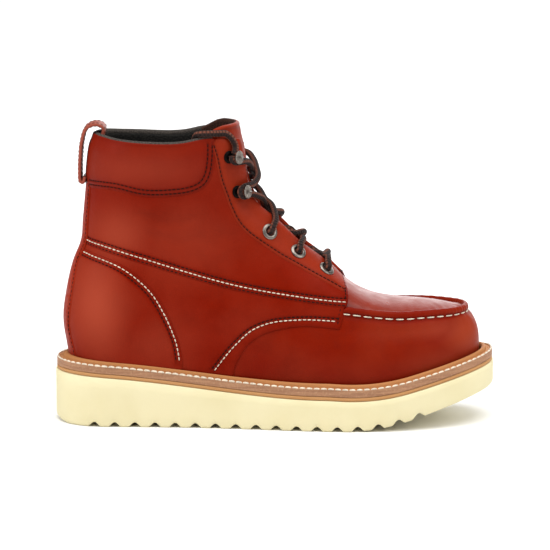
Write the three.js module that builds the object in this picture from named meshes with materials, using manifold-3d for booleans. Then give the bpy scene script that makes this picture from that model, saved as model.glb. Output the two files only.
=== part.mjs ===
// A six-inch moc toe work boot with a wedge sole, right foot, empty and standing on its sole.
// Millimetres. +X runs from heel to toe, +Y to the inner (medial) side of the foot, +Z up.
// The origin is under the middle of the sole, on the floor.
import * as THREE from "three";
import Module from "manifold-3d";

const wasm = await Module();
wasm.setup();
const { Manifold, Mesh } = wasm;

// Driving sizes of the sole unit.
const soleLength = 305;
const ballWidth = 111;
const heelStack = 35.5;
const ballStack = 21.5;
const toeStack = 16;
const toeRockerRadius = 160;
const toeRockerSlope = 0.3;
const toeRockerStart = 45;
const heelBevel = 3;
const edgeRound = 1.6;
const midsoleThick = 2.4;
const weltEdge = 5.2;
const weltRise = 3;
const weltMargin = 8;
const weltInset = 0.8;
const seat = 0.3; // clearance between pieces that lie on each other
const seatLift = 0.35; // of a fitting's seat off the facets below it
const fineness = 0.03; // how far a facet may leave the exact form
const lugPitch = 13.9;
const lugGap = 7.4;
const lugDepth = 2.9;
const lugFirst = -124;
const lugCount = 17;

// Driving sizes of the upper.
const heelMargin = 5.5;
const toeMargin = 10;
const shaftHeight = 150;
const collarWidth = 78;
const instepHeight = 65;
const leather = 2.6;
const collarPad = 2.6;
const overlay = 1.3;
const backStayWidth = 30;
const ridgeHeight = 4.2;
const ridgeWidth = 4.4;
const ridgeRear = 49;
const insoleThick = 7;
const tongueThick = 4.5;
const tongueGap = 0.9; // between the inside of the shaft and the tongue
const throatTop = 21;
const throatBottom = 6;
const throatBase = 95;

// Driving sizes of the fittings.
const laceRadius = 2.3;
const laceLift = 5.7; // of a strand's middle above its seat, where it goes round a hook
const eyeletHole = 2.7;
const eyeletRadius = 5.6;
const eyeletHigh = 0.9;
const boreSpare = 0.9;
const hookBase = 4.4;
const hookPost = 1.3;
const hookLean = 0.28; // forward, as a share of its height
const hookHead = 4.6;
const hookReach = 8.6;
const loopWidth = 22;
const loopThick = 2.6;
const loopRise = 7.5;

// Outline of the sole: share of its length, half width and sideways swing as shares of the ball width.
const soleRows = [
  { at: 0, half: 0.354, swing: 0 },
  { at: 0.15, half: 0.354, swing: 0 },
  { at: 0.25, half: 0.356, swing: -0.009 },
  { at: 0.35, half: 0.36, swing: -0.028 },
  { at: 0.45, half: 0.383, swing: -0.046 },
  { at: 0.55, half: 0.428, swing: -0.049 },
  { at: 0.63, half: 0.47, swing: -0.036 },
  { at: 0.7, half: 0.493, swing: -0.018 },
  { at: 0.76, half: 0.498, swing: -0.002 },
  { at: 0.84, half: 0.488, swing: 0.016 },
  { at: 0.92, half: 0.465, swing: 0.027 },
  { at: 1, half: 0.44, swing: 0.031 },
];
const soleToeRound = { share: 0.26, power: 2.25 };
const soleHeelRound = { share: 0.125, power: 2.05 };

// Foot part of the upper: share of its length, shoulder half width as a share of the ball width,
// shoulder and crown height above the feather line as shares of the instep height, and how round the crown is.
const footRows = [
  { at: 0.1, half: 0.27, shoulder: 0.69, crown: 1.46, round: 0.5 },
  { at: 0.3, half: 0.297, shoulder: 0.71, crown: 1.9, round: 0.5 },
  { at: 0.45, half: 0.324, shoulder: 0.72, crown: 1.74, round: 0.5 },
  { at: 0.55, half: 0.336, shoulder: 0.74, crown: 1.465, round: 0.5 },
  { at: 0.62, half: 0.342, shoulder: 0.75, crown: 1.25, round: 0.5 },
  { at: 0.684, half: 0.345, shoulder: 0.73, crown: 0.994, round: 0.55 },
  { at: 0.74, half: 0.345, shoulder: 0.685, crown: 0.85, round: 0.62 },
  { at: 0.81, half: 0.341, shoulder: 0.612, crown: 0.745, round: 0.75 },
  { at: 0.88, half: 0.333, shoulder: 0.54, crown: 0.64, round: 0.85 },
  { at: 0.94, half: 0.325, shoulder: 0.472, crown: 0.53, round: 0.9 },
  { at: 1, half: 0.315, shoulder: 0.415, crown: 0.445, round: 0.9 },
];

// Shaft of the upper: share of its height above the heel's feather line, back and front as shares of the
// upper's length, half width as a share of the collar width, and the roundings of back and front as shares of it.
const shaftRows = [
  { up: -0.08, back: 0.022, front: 0.6, half: 0.428, backRound: 0.44, frontRound: 0.77 },
  { up: 0.01, back: 0.0176, front: 0.6, half: 0.434, backRound: 0.44, frontRound: 0.77 },
  { up: 0.16, back: 0.007, front: 0.64, half: 0.45, backRound: 0.45, frontRound: 0.77 },
  { up: 0.3, back: 0.016, front: 0.66, half: 0.436, backRound: 0.48, frontRound: 0.75 },
  { up: 0.42, back: 0.031, front: 0.635, half: 0.414, backRound: 0.52, frontRound: 0.68 },
  { up: 0.52, back: 0.051, front: 0.578, half: 0.415, backRound: 0.53, frontRound: 0.62 },
  { up: 0.62, back: 0.056, front: 0.527, half: 0.428, backRound: 0.53, frontRound: 0.55 },
  { up: 0.7, back: 0.06, front: 0.48, half: 0.448, backRound: 0.52, frontRound: 0.5 },
  { up: 0.78, back: 0.064, front: 0.459, half: 0.468, backRound: 0.51, frontRound: 0.47 },
  { up: 0.92, back: 0.071, front: 0.45, half: 0.492, backRound: 0.5, frontRound: 0.45 },
  { up: 1.03, back: 0.082, front: 0.44, half: 0.5, backRound: 0.48, frontRound: 0.45 },
  { up: 1.18, back: 0.1, front: 0.425, half: 0.495, backRound: 0.48, frontRound: 0.45 },
];

// Front of the toe wall, from the feather line (0) to the moc seam (1).
const toeWall = { lean: 8, power: 3, roundLow: 0.262, roundHigh: 0.214, end: 2.3 };

// Collar edge in side view: share of the upper's length, height as a share of the shaft height.
const collarRows = [
  { at: 0, high: 1.028 },
  { at: 0.08, high: 1.024 },
  { at: 0.14, high: 1.008 },
  { at: 0.24, high: 0.997 },
  { at: 0.29, high: 1.001 },
  { at: 0.35, high: 1.022 },
  { at: 0.42, high: 1.012 },
  { at: 0.5, high: 0.985 },
];

// Tongue: half width seen from the front as a share of the collar width, by height as a share of the shaft's.
const tongueSides = [
  { up: 0.242, half: 0.246 },
  { up: 0.555, half: 0.308 },
  { up: 0.69, half: 0.365 },
  { up: 0.79, half: 0.43 },
  { up: 0.87, half: 0.6 },
  { up: 1.2, half: 0.6 },
];

// Its outline in side view: shares of the upper's length and of the shaft height.
const tongueOutline = [
  [0.333, 0.2], [0.333, 1.018], [0.3586, 1.0487], [0.3793, 1.0713], [0.4, 1.084], [0.43, 1.0873], [0.52, 1.0873],
  [0.76, 0.7], [0.76, 0.2],
];

// Lace fittings, from the lowest pair up: height as a share of the shaft height above the heel's feather line
// and distance from the centre plane as a share of the collar width.
const laceRows = [
  { up: 0.405, out: 0.225, kind: "eyelet" },
  { up: 0.497, out: 0.262, kind: "eyelet" },
  { up: 0.582, out: 0.298, kind: "eyelet" },
  { up: 0.765, out: 0.375, kind: "hook" },
  { up: 0.925, out: 0.405, kind: "hook" },
];

// Strands between two pairs of fittings, one over and one under where they cross: share of the way and lift.
const strandRows = {
  overFlap: [[0.11, 6.5], [0.26, 5.2], [0.5, 3.6]],
  underFlap: [[0.11, 6.5], [0.25, 4.8], [0.4, 1.2], [0.52, -0.6]],
  overToHook: [[0.08, 6.6], [0.2, 5.6], [0.35, 4.8], [0.5, 3.8], [0.65, 3.8], [0.77, 4.9], [0.9, 5.4]],
  underToHook: [[0.08, 6.6], [0.2, 5.2], [0.38, 1], [0.5, -0.5], [0.59, 0.3], [0.7, 4.1], [0.8, 5.2], [0.9, 5.5]],
  overHooks: [[0.16, 5.4], [0.32, 4.8], [0.5, 3.2], [0.68, 3.8], [0.84, 5]],
  underHooks: [[0.16, 5], [0.32, 2.8], [0.5, -0.9], [0.68, 1.6], [0.84, 4.4]],
};

const mix = (a, b, t) => a + (b - a) * t;
const clamp = (t, low = 0, high = 1) => Math.min(high, Math.max(low, t));
const smooth = (t) => clamp(t) ** 2 * (3 - 2 * clamp(t));

// A smooth curve through one column of a table.
function column(rows, key, name) {
  const knots = rows.map((row) => row[key]);
  const values = rows.map((row) => row[name]);
  const slopes = values.map((_, i) => {
    const a = Math.max(0, i - 1);
    const b = Math.min(values.length - 1, i + 1);
    return (values[b] - values[a]) / (knots[b] - knots[a]);
  });
  return (at) => {
    const t = clamp(at, knots[0], knots[knots.length - 1]);
    let i = knots.findIndex((knot, n) => n > 0 && t <= knot) - 1;
    if (i < 0) i = knots.length - 2;
    const span = knots[i + 1] - knots[i];
    const s = (t - knots[i]) / span;
    return (
      values[i] * (1 + 2 * s) * (1 - s) ** 2 +
      slopes[i] * span * s * (1 - s) ** 2 +
      values[i + 1] * s * s * (3 - 2 * s) +
      slopes[i + 1] * span * s * s * (s - 1)
    );
  };
}

// 0 at the very end of an outline, 1 once the rounding is over.
const roundEnd = (t, power = 2) => (1 - (1 - clamp(t)) ** power) ** (1 / power);

// The larger of two widths, with a soft joint.
function softMax(a, b, reach) {
  const blend = Math.min(reach, a, b);
  const h = Math.max(blend - Math.abs(a - b), 0);
  return Math.max(a, b) + (h > 0 ? (h * h) / (4 * blend) : 0);
}

// The sole unit.
const soleHalf = column(soleRows, "at", "half");
const soleSwing = column(soleRows, "at", "swing");
const soleShare = (x) => x / soleLength + 0.5;
const swing = (x) => ballWidth * soleSwing(soleShare(x));

function bottomRise(x) {
  const past = x - toeRockerStart;
  const arc = toeRockerRadius * toeRockerSlope;
  const beyond = toeRockerSlope * (past - arc / 2);
  const toe = past <= 0 ? 0 : past < arc ? past ** 2 / (2 * toeRockerRadius) : beyond;
  const heel = clamp((heelBevel * 4 - (x + soleLength / 2)) / (heelBevel * 4)) ** 2 * heelBevel;
  return toe + heel;
}
function soleTop(x) {
  const s = soleShare(x);
  const wedge = mix(heelStack, ballStack, smooth(s / 0.6));
  const thick = s < 0.62 ? wedge : mix(ballStack, toeStack, (s - 0.62) / 0.38);
  return thick + bottomRise(Math.max(x, 0));
}
const midsoleTop = (x) => soleTop(x) + seat + midsoleThick;
const weltFloor = (x) => midsoleTop(x) + seat;
const feather = (x) => weltFloor(x) + weltEdge + weltRise;

// Half outline of a slab: pairs of points on the outer (lateral) and inner (medial) side with the same x.
function soleOutline(inset, steps) {
  const half = soleLength / 2 - inset;
  return Array.from({ length: steps + 1 }, (_, i) => {
    const x = -half * Math.cos((Math.PI * i) / steps);
    const s = (x + half) / (2 * half);
    const full = ballWidth * soleHalf(soleShare(x)) - inset;
    const ends =
      roundEnd((1 - s) / soleToeRound.share, soleToeRound.power) *
      roundEnd(s / soleHeelRound.share, soleHeelRound.power);
    return { x, half: full * ends, middle: swing(x) };
  });
}
const ringOf = (outline, z) => {
  const lateral = outline.map((p) => [p.x, p.middle - p.half, z(p.x)]);
  const medial = outline.slice(1, -1).map((p) => [p.x, p.middle + p.half, z(p.x)]);
  return [...lateral, ...medial.reverse()];
};

// A closed solid through rings that all have the same even number of points, capped across in strips.
function stackSolid(rings) {
  const n = rings[0].length;
  const faces = [];
  rings.slice(1).forEach((_, k) => {
    for (let j = 0; j < n; j += 1) {
      const [a, b] = [k * n + j, k * n + ((j + 1) % n)];
      faces.push([a, b, b + n], [a, b + n, a + n]);
    }
  });
  const last = (rings.length - 1) * n;
  for (let j = 0; j < n / 2; j += 1) {
    const [a, b, c, d] = [j, j + 1, (n - j - 1) % n, (n - j) % n];
    [[a, b, c], [a, c, d]].forEach(([p, q, r]) => {
      if (p === q || q === r || p === r) return;
      faces.push([p, r, q], [last + p, last + q, last + r]);
    });
  }
  return solidOf(rings.flat(), faces);
}

// A closed ring with the same section all round: sections[i] is the list of points of section i.
function hoopSolid(sections) {
  const n = sections[0].length;
  const m = sections.length;
  const faces = [];
  for (let i = 0; i < m; i += 1) {
    for (let j = 0; j < n; j += 1) {
      const a = i * n + j;
      const b = i * n + ((j + 1) % n);
      const c = ((i + 1) % m) * n + ((j + 1) % n);
      const d = ((i + 1) % m) * n + j;
      faces.push([a, c, b], [a, d, c]);
    }
  }
  return solidOf(sections.flat(), faces);
}

// A closed tube of equal sections with flat ends.
function tubeSolid(sections) {
  const n = sections[0].length;
  const faces = [];
  sections.slice(1).forEach((_, i) => {
    for (let j = 0; j < n; j += 1) {
      const [a, b] = [i * n + j, i * n + ((j + 1) % n)];
      faces.push([a, b, b + n], [a, b + n, a + n]);
    }
  });
  const last = (sections.length - 1) * n;
  for (let j = 1; j < n - 1; j += 1) {
    faces.push([0, j + 1, j], [last, last + j, last + j + 1]);
  }
  return solidOf(sections.flat(), faces);
}

function solidOf(points, faces) {
  const build = (triangles) =>
    new Manifold(
      new Mesh({
        numProp: 3,
        vertProperties: new Float32Array(points.flat()),
        triVerts: new Uint32Array(triangles.flat()),
      }),
    );
  const made = build(faces);
  return made.volume() > 0 ? made : build(faces.map(([a, b, c]) => [a, c, b]));
}

// A three.js geometry as a solid, moved by a matrix.
function solidFrom(geometry, matrix = new THREE.Matrix4()) {
  const flat = geometry.clone().applyMatrix4(matrix);
  const position = flat.getAttribute("position");
  const index = flat.index ? [...flat.index.array] : [...Array(position.count).keys()];
  const keys = new Map();
  const points = [];
  const renumber = index.map((i) => {
    const p = [position.getX(i), position.getY(i), position.getZ(i)];
    const key = p.map((v) => Math.round(v * 1e4)).join();
    if (!keys.has(key)) {
      keys.set(key, points.length);
      points.push(p);
    }
    return keys.get(key);
  });
  const faces = [];
  for (let i = 0; i < renumber.length; i += 3) {
    const [a, b, c] = renumber.slice(i, i + 3);
    if (a !== b && b !== c && a !== c) faces.push([a, b, c]);
  }
  return solidOf(points, faces);
}

// A side-view outline of [x, z] points as a slab across the whole width.
function sidePrism(outline, halfDepth = 90) {
  const shape = new THREE.Shape(outline.map(([x, z]) => new THREE.Vector2(x, z)));
  const geometry = new THREE.ExtrudeGeometry(shape, { depth: 2 * halfDepth, bevelEnabled: false });
  const turn = new THREE.Matrix4().makeRotationX(Math.PI / 2).setPosition(0, halfDepth, 0);
  return solidFrom(geometry, turn);
}
// A front-view outline of [y, z] points as a slab from x0 to x1.
function frontPrism(outline, x0, x1) {
  const shape = new THREE.Shape(outline.map(([y, z]) => new THREE.Vector2(y, z)));
  const geometry = new THREE.ExtrudeGeometry(shape, { depth: x1 - x0, bevelEnabled: false });
  const turn = new THREE.Matrix4().makeBasis(
    new THREE.Vector3(0, 1, 0),
    new THREE.Vector3(0, 0, 1),
    new THREE.Vector3(1, 0, 0),
  );
  return solidFrom(geometry, turn.setPosition(x0, 0, 0));
}

// The upper's own form: half width at any x and z.
const upperBack = -soleLength / 2 + heelMargin;
const upperFront = soleLength / 2 - toeMargin;
const upperLength = upperFront - upperBack;
const upperShare = (x) => (x - upperBack) / upperLength;
const heelFeather = feather(upperBack);
const collarTop = heelFeather + shaftHeight;
const bodyTop = heelFeather + 1.17 * shaftHeight;

const shoulderHalf = column(footRows, "at", "half");
const shoulderUp = column(footRows, "at", "shoulder");
const crownUp = column(footRows, "at", "crown");
const crownRound = column(footRows, "at", "round");
const shoulderAt = (x) => feather(x) + instepHeight * shoulderUp(upperShare(x));
const crownAt = (x) => feather(x) + instepHeight * crownUp(upperShare(x));

const shaftOf = (name) => {
  const curve = column(shaftRows, "up", name);
  return (z) => curve((z - heelFeather) / shaftHeight);
};
const [backShare, frontShare, shaftHalf] = ["back", "front", "half"].map(shaftOf);
const [backRound, frontRound] = ["backRound", "frontRound"].map(shaftOf);
const backAt = (z) => upperBack + upperLength * backShare(z);
const frontAt = (z) => upperBack + upperLength * frontShare(z);

const toeFront = (v) => upperFront - toeWall.lean * v ** toeWall.power;
const wallShare = (x, z) => clamp((z - feather(x)) / (shoulderAt(x) - feather(x)));

function footHalf(x, z) {
  const v = wallShare(x, z);
  const low = ballWidth * soleHalf(soleShare(x)) - weltMargin;
  const high = ballWidth * shoulderHalf(upperShare(x));
  const belly = 1.7 * Math.sin(Math.PI * Math.min(1, v * 1.3));
  const toeReach = upperLength * mix(toeWall.roundLow, toeWall.roundHigh, v);
  const toe = roundEnd((toeFront(v) - x) / toeReach, toeWall.end);
  const over = z - shoulderAt(x);
  const rise = crownAt(x) - shoulderAt(x);
  const crown = over <= 0 ? 1 : Math.sqrt(1 - clamp(over / rise) ** (1 / crownRound(upperShare(x))));
  return (mix(low, high, v ** 1.8) + belly) * toe * crown;
}
function halfWidth(x, z) {
  const shaft = collarWidth * shaftHalf(z) * roundEnd((frontAt(z) - x) / (collarWidth * frontRound(z)));
  const heel = roundEnd((x - backAt(z)) / (collarWidth * backRound(z)));
  return softMax(footHalf(x, z), shaft, 8) * heel;
}
const swingAt = (x, z) => swing(x) * (1 - smooth((z - feather(x) - 25) / 75));

// The x at which the front of the form is a given distance from the centre plane.
function frontFace(z, out = 0) {
  let [inside, outside] = [frontAt(z) - 0.5 * collarWidth, upperFront + 5];
  for (let n = 0; n < 40; n += 1) {
    const middle = (inside + outside) / 2;
    if (halfWidth(middle, z) > out) inside = middle;
    else outside = middle;
  }
  return (inside + outside) / 2;
}

// One loop round the form: the height of the loop at each x, and where it ends in front.
function loopRing(heightAt, front, steps) {
  let back = upperBack;
  for (let n = 0; n < 8; n += 1) back = backAt(heightAt(back));
  const outline = Array.from({ length: steps + 1 }, (_, i) => {
    const x = mix(back, front, (1 - Math.cos((Math.PI * i) / steps)) / 2);
    const z = heightAt(x);
    const half = i === 0 || i === steps ? 0 : Math.max(halfWidth(x, z), 0.02);
    return { x, half, middle: swingAt(x, z), z };
  });
  const lateral = outline.map((p) => [p.x, p.middle - p.half, p.z]);
  const medial = outline.slice(1, -1).map((p) => [p.x, p.middle + p.half, p.z]);
  return [...lateral, ...medial.reverse()];
}

const wallLevels = [0, 0.2, 0.45, 0.7, 0.88, 1];
const upperLevels = [0.012, 0.03, 0.052, 0.08, 0.12, 0.17, 0.23, 0.31, 0.4, 0.5, 0.61, 0.73, 0.86, 1];

// Where a loop above the moc seam leaves the centre plane.
function loopFront(heightAt) {
  let [inside, outside] = [-40, toeFront(1)];
  for (let n = 0; n < 40; n += 1) {
    const middle = (inside + outside) / 2;
    if (halfWidth(middle, heightAt(middle)) > 0) inside = middle;
    else outside = middle;
  }
  return inside;
}

// All loops of the form, from below the feather line to above the collar.
function bodyRings(bottom, steps) {
  const walls = wallLevels.map((v) => {
    const heightAt = (x) => mix(feather(x), shoulderAt(x), v);
    return loopRing(heightAt, toeFront(v), steps);
  });
  const uppers = upperLevels.map((g) => {
    const heightAt = (x) => mix(shoulderAt(x), bodyTop, g);
    return loopRing(heightAt, loopFront(heightAt), steps);
  });
  const base = walls[0].map(([x, y]) => [x, y, bottom(x)]);
  return [base, ...walls, ...uppers];
}

// Unit normals of stacked rings, from the faces beside each point.
function ringNormals(rings) {
  const n = rings[0].length;
  const normals = rings.map((ring) => ring.map(() => new THREE.Vector3()));
  const at = (k, j) => new THREE.Vector3(...rings[k][j % n]);
  for (let k = 0; k + 1 < rings.length; k += 1) {
    for (let j = 0; j < n; j += 1) {
      const corners = [[k, j], [k, (j + 1) % n], [k + 1, (j + 1) % n], [k + 1, j]];
      const [a, b, c, d] = corners.map(([p, q]) => at(p, q));
      const face = new THREE.Vector3().crossVectors(c.sub(a), d.sub(b));
      corners.forEach(([p, q]) => normals[p][q].add(face));
    }
  }
  return normals.map((ring) => ring.map((v) => v.normalize()));
}

// The closed form, grown or shrunk by an offset along its normals, with its underside a drop lower.
function body(offset, drop = 0) {
  const rings = bodyRings((x) => weltFloor(x) - drop, 26);
  const normals = ringNormals(rings);
  const moved = rings.map((ring, k) =>
    ring.map(([x, y, z], j) => {
      const v = normals[k][j];
      return [x + v.x * offset, y + v.y * offset, z + (k === 0 ? 0 : v.z * offset)];
    }),
  );
  return stackSolid(moved);
}

// A seat on the front of the form for a round fitting: the plane that the form touches round about a point
// given by its height and its distance from the centre plane.
function frontSeat(z, out, side, reach) {
  const spot = (dz, dy) => {
    const x = frontFace(z + dz, out + dy);
    return new THREE.Vector3(x, swingAt(x, z + dz) + side * (out + dy), z + dz);
  };
  const centre = spot(0, 0);
  const rim = Array.from({ length: 8 }, (_, i) => {
    const turn = (Math.PI * i) / 4;
    return spot(reach * Math.sin(turn) * 0.8, reach * Math.cos(turn)).sub(centre);
  });
  const normal = new THREE.Vector3();
  rim.forEach((v, i) => normal.add(new THREE.Vector3().crossVectors(v, rim[(i + 1) % 8])));
  normal.normalize();
  if (normal.x < 0) normal.negate();
  const lift = Math.max(0, ...rim.map((v) => v.dot(normal)));
  return { point: centre.addScaledVector(normal, lift + seatLift), normal };
}

// The collar edge in side view.
const collarHigh = column(collarRows, "at", "high");
const collarAt = (x) => heelFeather + shaftHeight * collarHigh(upperShare(x));

function aboveCollar(drop = 0) {
  const from = upperBack - 20;
  const to = frontAt(collarTop) + 45;
  const edge = Array.from({ length: 17 }, (_, i) => {
    const x = mix(from, to, i / 16);
    return [x, collarAt(x) - drop];
  });
  return sidePrism([...edge, [to, bodyTop + 40], [from, bodyTop + 40]]);
}

// The throat between the two facings, seen from the front.
function throatSlot(spare = 0) {
  const high = bodyTop + 20;
  const low = throatBase - spare;
  const edge = Array.from({ length: 7 }, (_, i) => {
    const z = mix(low, high, i / 6);
    return [throatHalf(z) + spare, z];
  });
  const outline = [...edge, ...edge.map(([y, z]) => [-y, z]).reverse()];
  return frontPrism(outline, frontAt(collarTop) - 28, upperFront);
}
function throatHalf(z) {
  const share = clamp((z - throatBase) / (collarTop - throatBase));
  return mix(throatBottom, throatTop, share ** 0.8);
}

// A bead along the moc seam, half sunk into the wall.
function mocRidge() {
  const steps = 30;
  const heightAt = (x) => shoulderAt(x);
  const front = toeFront(1);
  const half = Array.from({ length: steps + 1 }, (_, i) => {
    const x = mix(ridgeRear, front, Math.sin((Math.PI / 2) * (i / steps)));
    return { x, half: i === steps ? 0 : halfWidth(x, heightAt(x)), z: heightAt(x) };
  });
  const path = [
    ...half.map((p) => new THREE.Vector3(p.x, swingAt(p.x, p.z) - p.half, p.z)),
    ...half.slice(0, -1).reverse().map((p) => new THREE.Vector3(p.x, swingAt(p.x, p.z) + p.half, p.z)),
  ];
  const section = [[0.6, -3.5], [0.9, 0], [0.5, 0.85], [-0.2, 1], [-0.75, 0.85], [-1, 0], [-0.9, -1.2]];
  const sections = path.map((p, i) => {
    const before = path[Math.max(0, i - 1)];
    const after = path[Math.min(path.length - 1, i + 1)];
    const along = after.clone().sub(before).setZ(0).normalize();
    const outward = new THREE.Vector3(along.y, -along.x, 0);
    const fade = smooth((p.x - ridgeRear + 1) / 12) * 0.75 + 0.25;
    return section.map(([a, b]) => [
      p.x + (outward.x * a * ridgeWidth) / 2 - outward.x * ridgeWidth * 0.45,
      p.y + (outward.y * a * ridgeWidth) / 2 - outward.y * ridgeWidth * 0.45,
      p.z + (b > 0 ? b * ridgeHeight * fade : b * 1.2),
    ]);
  });
  return tubeSolid(sections);
}

function upper() {
  const outer = body(0);
  const collarBand = body(collarPad).intersect(sidePrism(collarOutline()));
  const quarter = body(overlay).intersect(sidePrism(quarterOutline()));
  const stayRegion = frontPrism(backStayOutline(), upperBack - 10, backAt(heelFeather) + 25);
  const stay = body(overlay + 0.8).intersect(stayRegion);
  const inner = body(-leather, 12);
  let shell = outer.add(collarBand).add(quarter).add(stay).add(mocRidge()).subtract(inner);
  shell = shell.subtract(aboveCollar()).subtract(throatSlot());
  shell = shell.intersect(belowCut());
  fittings().forEach((f) => {
    shell = shell.subtract(f.bore);
  });
  return biggest(shell);
}

// Everything above the level on which the upper stands inside the welt.
function belowCut() {
  const half = soleLength / 2;
  const [end, high] = [half + 5, 2 * bodyTop];
  const edge = Array.from({ length: 25 }, (_, i) => {
    const x = mix(-end, end, i / 24);
    return [x, weltFloor(clamp(x, -half, half))];
  });
  return sidePrism([...edge, [end, high], [-end, high]]);
}

const biggest = (solid) => solid.decompose().reduce((a, b) => (a.volume() > b.volume() ? a : b));

// Side-view outlines of the overlays, as shares of the upper's length and of the shaft height.
const sideSpot = ([at, up]) => [upperBack + upperLength * at, heelFeather + shaftHeight * up];
const collarOutline = () =>
  [
    [-0.1, 0.8], [0.06, 0.795], [0.16, 0.783], [0.26, 0.775], [0.315, 0.785], [0.345, 0.82],
    [0.357, 0.87], [0.362, 1.2], [-0.1, 1.2],
  ].map(sideSpot);
const quarterOutline = () =>
  [
    [-0.1, -0.2], [0.37, -0.2], [0.389, -0.04], [0.41, 0.01], [0.441, 0.062], [0.501, 0.137], [0.5685, 0.162],
    [0.649, 0.149], [0.661, 0.147], [0.669, 0.253], [0.681, 0.272], [0.676, 0.337], [0.666, 0.383], [0.68, 0.5],
    [0.6, 1.3], [-0.1, 1.3],
  ].map(sideSpot);
const backStayOutline = () => [
  [-backStayWidth / 2, heelFeather + 1],
  [backStayWidth / 2, heelFeather + 1],
  [backStayWidth / 2, heelFeather + 0.79 * shaftHeight],
  [-backStayWidth / 2, heelFeather + 0.79 * shaftHeight],
];

// Places of the eyelets and hooks. The third axis of a place is that of the fitting.
function fittings() {
  return laceRows.flatMap(({ up, out, kind }, row) =>
    [-1, 1].map((side) => {
      const reach = kind === "eyelet" ? eyeletRadius : hookBase;
      const { point, normal } = frontSeat(heelFeather + shaftHeight * up, out * collarWidth, side, reach);
      const forward = new THREE.Vector3(1, 0, 0).addScaledVector(normal, -normal.x).normalize();
      const across = new THREE.Vector3().crossVectors(normal, forward);
      const axis = normal.clone().addScaledVector(forward, kind === "hook" ? hookLean : 0);
      const matrix = new THREE.Matrix4().makeBasis(forward, across, axis).setPosition(point);
      const radius = (kind === "eyelet" ? eyeletHole : hookPost) + boreSpare;
      const bore = new THREE.CylinderGeometry(radius, radius, 16, 14).rotateX(Math.PI / 2);
      return { row, side, point, normal, axis, matrix, kind, bore: solidFrom(bore, matrix) };
    }),
  );
}

// The outsole: a wedge with a rounded foot and cross grooves.
function outsole() {
  const steps = 40;
  const rings = [
    ringOf(soleOutline(edgeRound, steps), (x) => bottomRise(x)),
    ringOf(soleOutline(0.35 * edgeRound, steps), (x) => bottomRise(x) + 0.4 * edgeRound),
    ringOf(soleOutline(0, steps), (x) => bottomRise(x) + 1.3 * edgeRound),
    ringOf(soleOutline(0, steps), soleTop),
  ];
  let solid = stackSolid(rings);
  const groove = new THREE.CylinderGeometry(lugGap / 2, lugGap / 2, 2 * ballWidth, 14);
  for (let n = 0; n < lugCount; n += 1) {
    const x = lugFirst + n * lugPitch;
    const flat = new THREE.Matrix4().makeScale(1, 1, (2 * lugDepth) / lugGap);
    const place = flat.setPosition(x, 0, bottomRise(x));
    solid = solid.subtract(solidFrom(groove, place));
  }
  return solid;
}

const slab = (inset, low, high, steps = 36) => {
  const outline = soleOutline(inset, steps);
  return stackSolid([ringOf(outline, low), ringOf(outline, high)]);
};

// The upper's outline where it stands in the welt.
const upperFoot = (spare, steps) => {
  const walls = loopRing((x) => feather(x), toeFront(0), steps);
  const normals = ringNormals([walls, walls.map(([x, y, z]) => [x, y, z + 5])])[0];
  return walls.map(([x, y], j) => [x + normals[j].x * spare, y + normals[j].y * spare]);
};

// The storm welt: a flat edge for the seam and a rib that rises against the upper.
function welt() {
  const steps = 36;
  const outer = ringOf(soleOutline(weltInset, steps), () => 0);
  const inner = upperFoot(overlay + seat + 0.1, steps);
  const section = [
    [0, 0], [1, 0], [1, weltEdge - 0.5], [0.93, weltEdge], [0.55, weltEdge],
    [0.38, weltEdge + 0.55 * weltRise], [0.2, weltEdge + weltRise], [0, weltEdge + weltRise],
  ];
  const sections = outer.map(([ox, oy], j) => {
    const [ix, iy] = inner[j];
    return section.map(([share, high]) => {
      const x = mix(ix, ox, share);
      return [x, mix(iy, oy, share), weltFloor(x) + high];
    });
  });
  return hoopSolid(sections);
}

function insole() {
  const outline = upperFoot(-leather - seat - 0.4, 30);
  const low = outline.map(([x, y]) => [x, y, weltFloor(x)]);
  const high = outline.map(([x, y]) => [x, y, weltFloor(x) + insoleThick]);
  return stackSolid([low, high]);
}

// The padded tongue lies inside the facings, with a wing on each side, and stands above the collar.
function tongue() {
  const outside = body(-leather - tongueGap);
  const inside = body(-leather - tongueGap - tongueThick);
  const edge = tongueSides.map(({ up, half }) => [half * collarWidth, heelFeather + up * shaftHeight]);
  const mirrored = edge.map(([y, z]) => [-y, z]).reverse();
  const front = frontPrism([...edge, ...mirrored], upperBack, upperFront);
  return biggest(outside.subtract(inside).intersect(front).intersect(sidePrism(tongueOutline.map(sideSpot))));
}

// The pull loop: a folded strap that stands above the back of the collar.
function pullLoop() {
  const low = heelFeather + 0.8 * shaftHeight;
  const edge = collarAt(upperBack + 15);
  const top = edge + loopRise;
  const outside = (z) => backAt(z) - collarPad - seat - 0.3 - loopThick / 2;
  const width = loopWidth / 2;
  const hollow = (z) => 1.3 * (width ** 2 / (collarWidth * backRound(z)));
  const inside = (z) => backAt(z) + leather + seat + loopThick / 2 + hollow(z);
  const path = [
    [outside(low), low], [outside(low + 10) - 0.5, low + 10], [outside(low + 20) - 2.5, low + 20],
    [outside(edge - 8) - 4, edge - 8], [outside(edge) - 2.5, edge + 0.45 * loopRise],
    [mix(outside(edge), inside(edge), 0.4), top], [inside(edge) + 1, edge + 0.4 * loopRise],
    [inside(edge - 6) + 1, edge - 6], [inside(edge - 16), edge - 16],
  ];
  const curve = new THREE.CatmullRomCurve3(path.map(([x, z]) => new THREE.Vector3(x, 0, z)));
  const sections = Array.from({ length: 25 }, (_, i) => {
    const p = curve.getPointAt(i / 24);
    const t = curve.getTangentAt(i / 24);
    const n = new THREE.Vector3(-t.z, 0, t.x).multiplyScalar(loopThick / 2);
    return [
      [p.x + n.x, -width, p.z + n.z], [p.x + n.x, width, p.z + n.z],
      [p.x - n.x, width, p.z - n.z], [p.x - n.x, -width, p.z - n.z],
    ];
  });
  return tubeSolid(sections);
}

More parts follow.
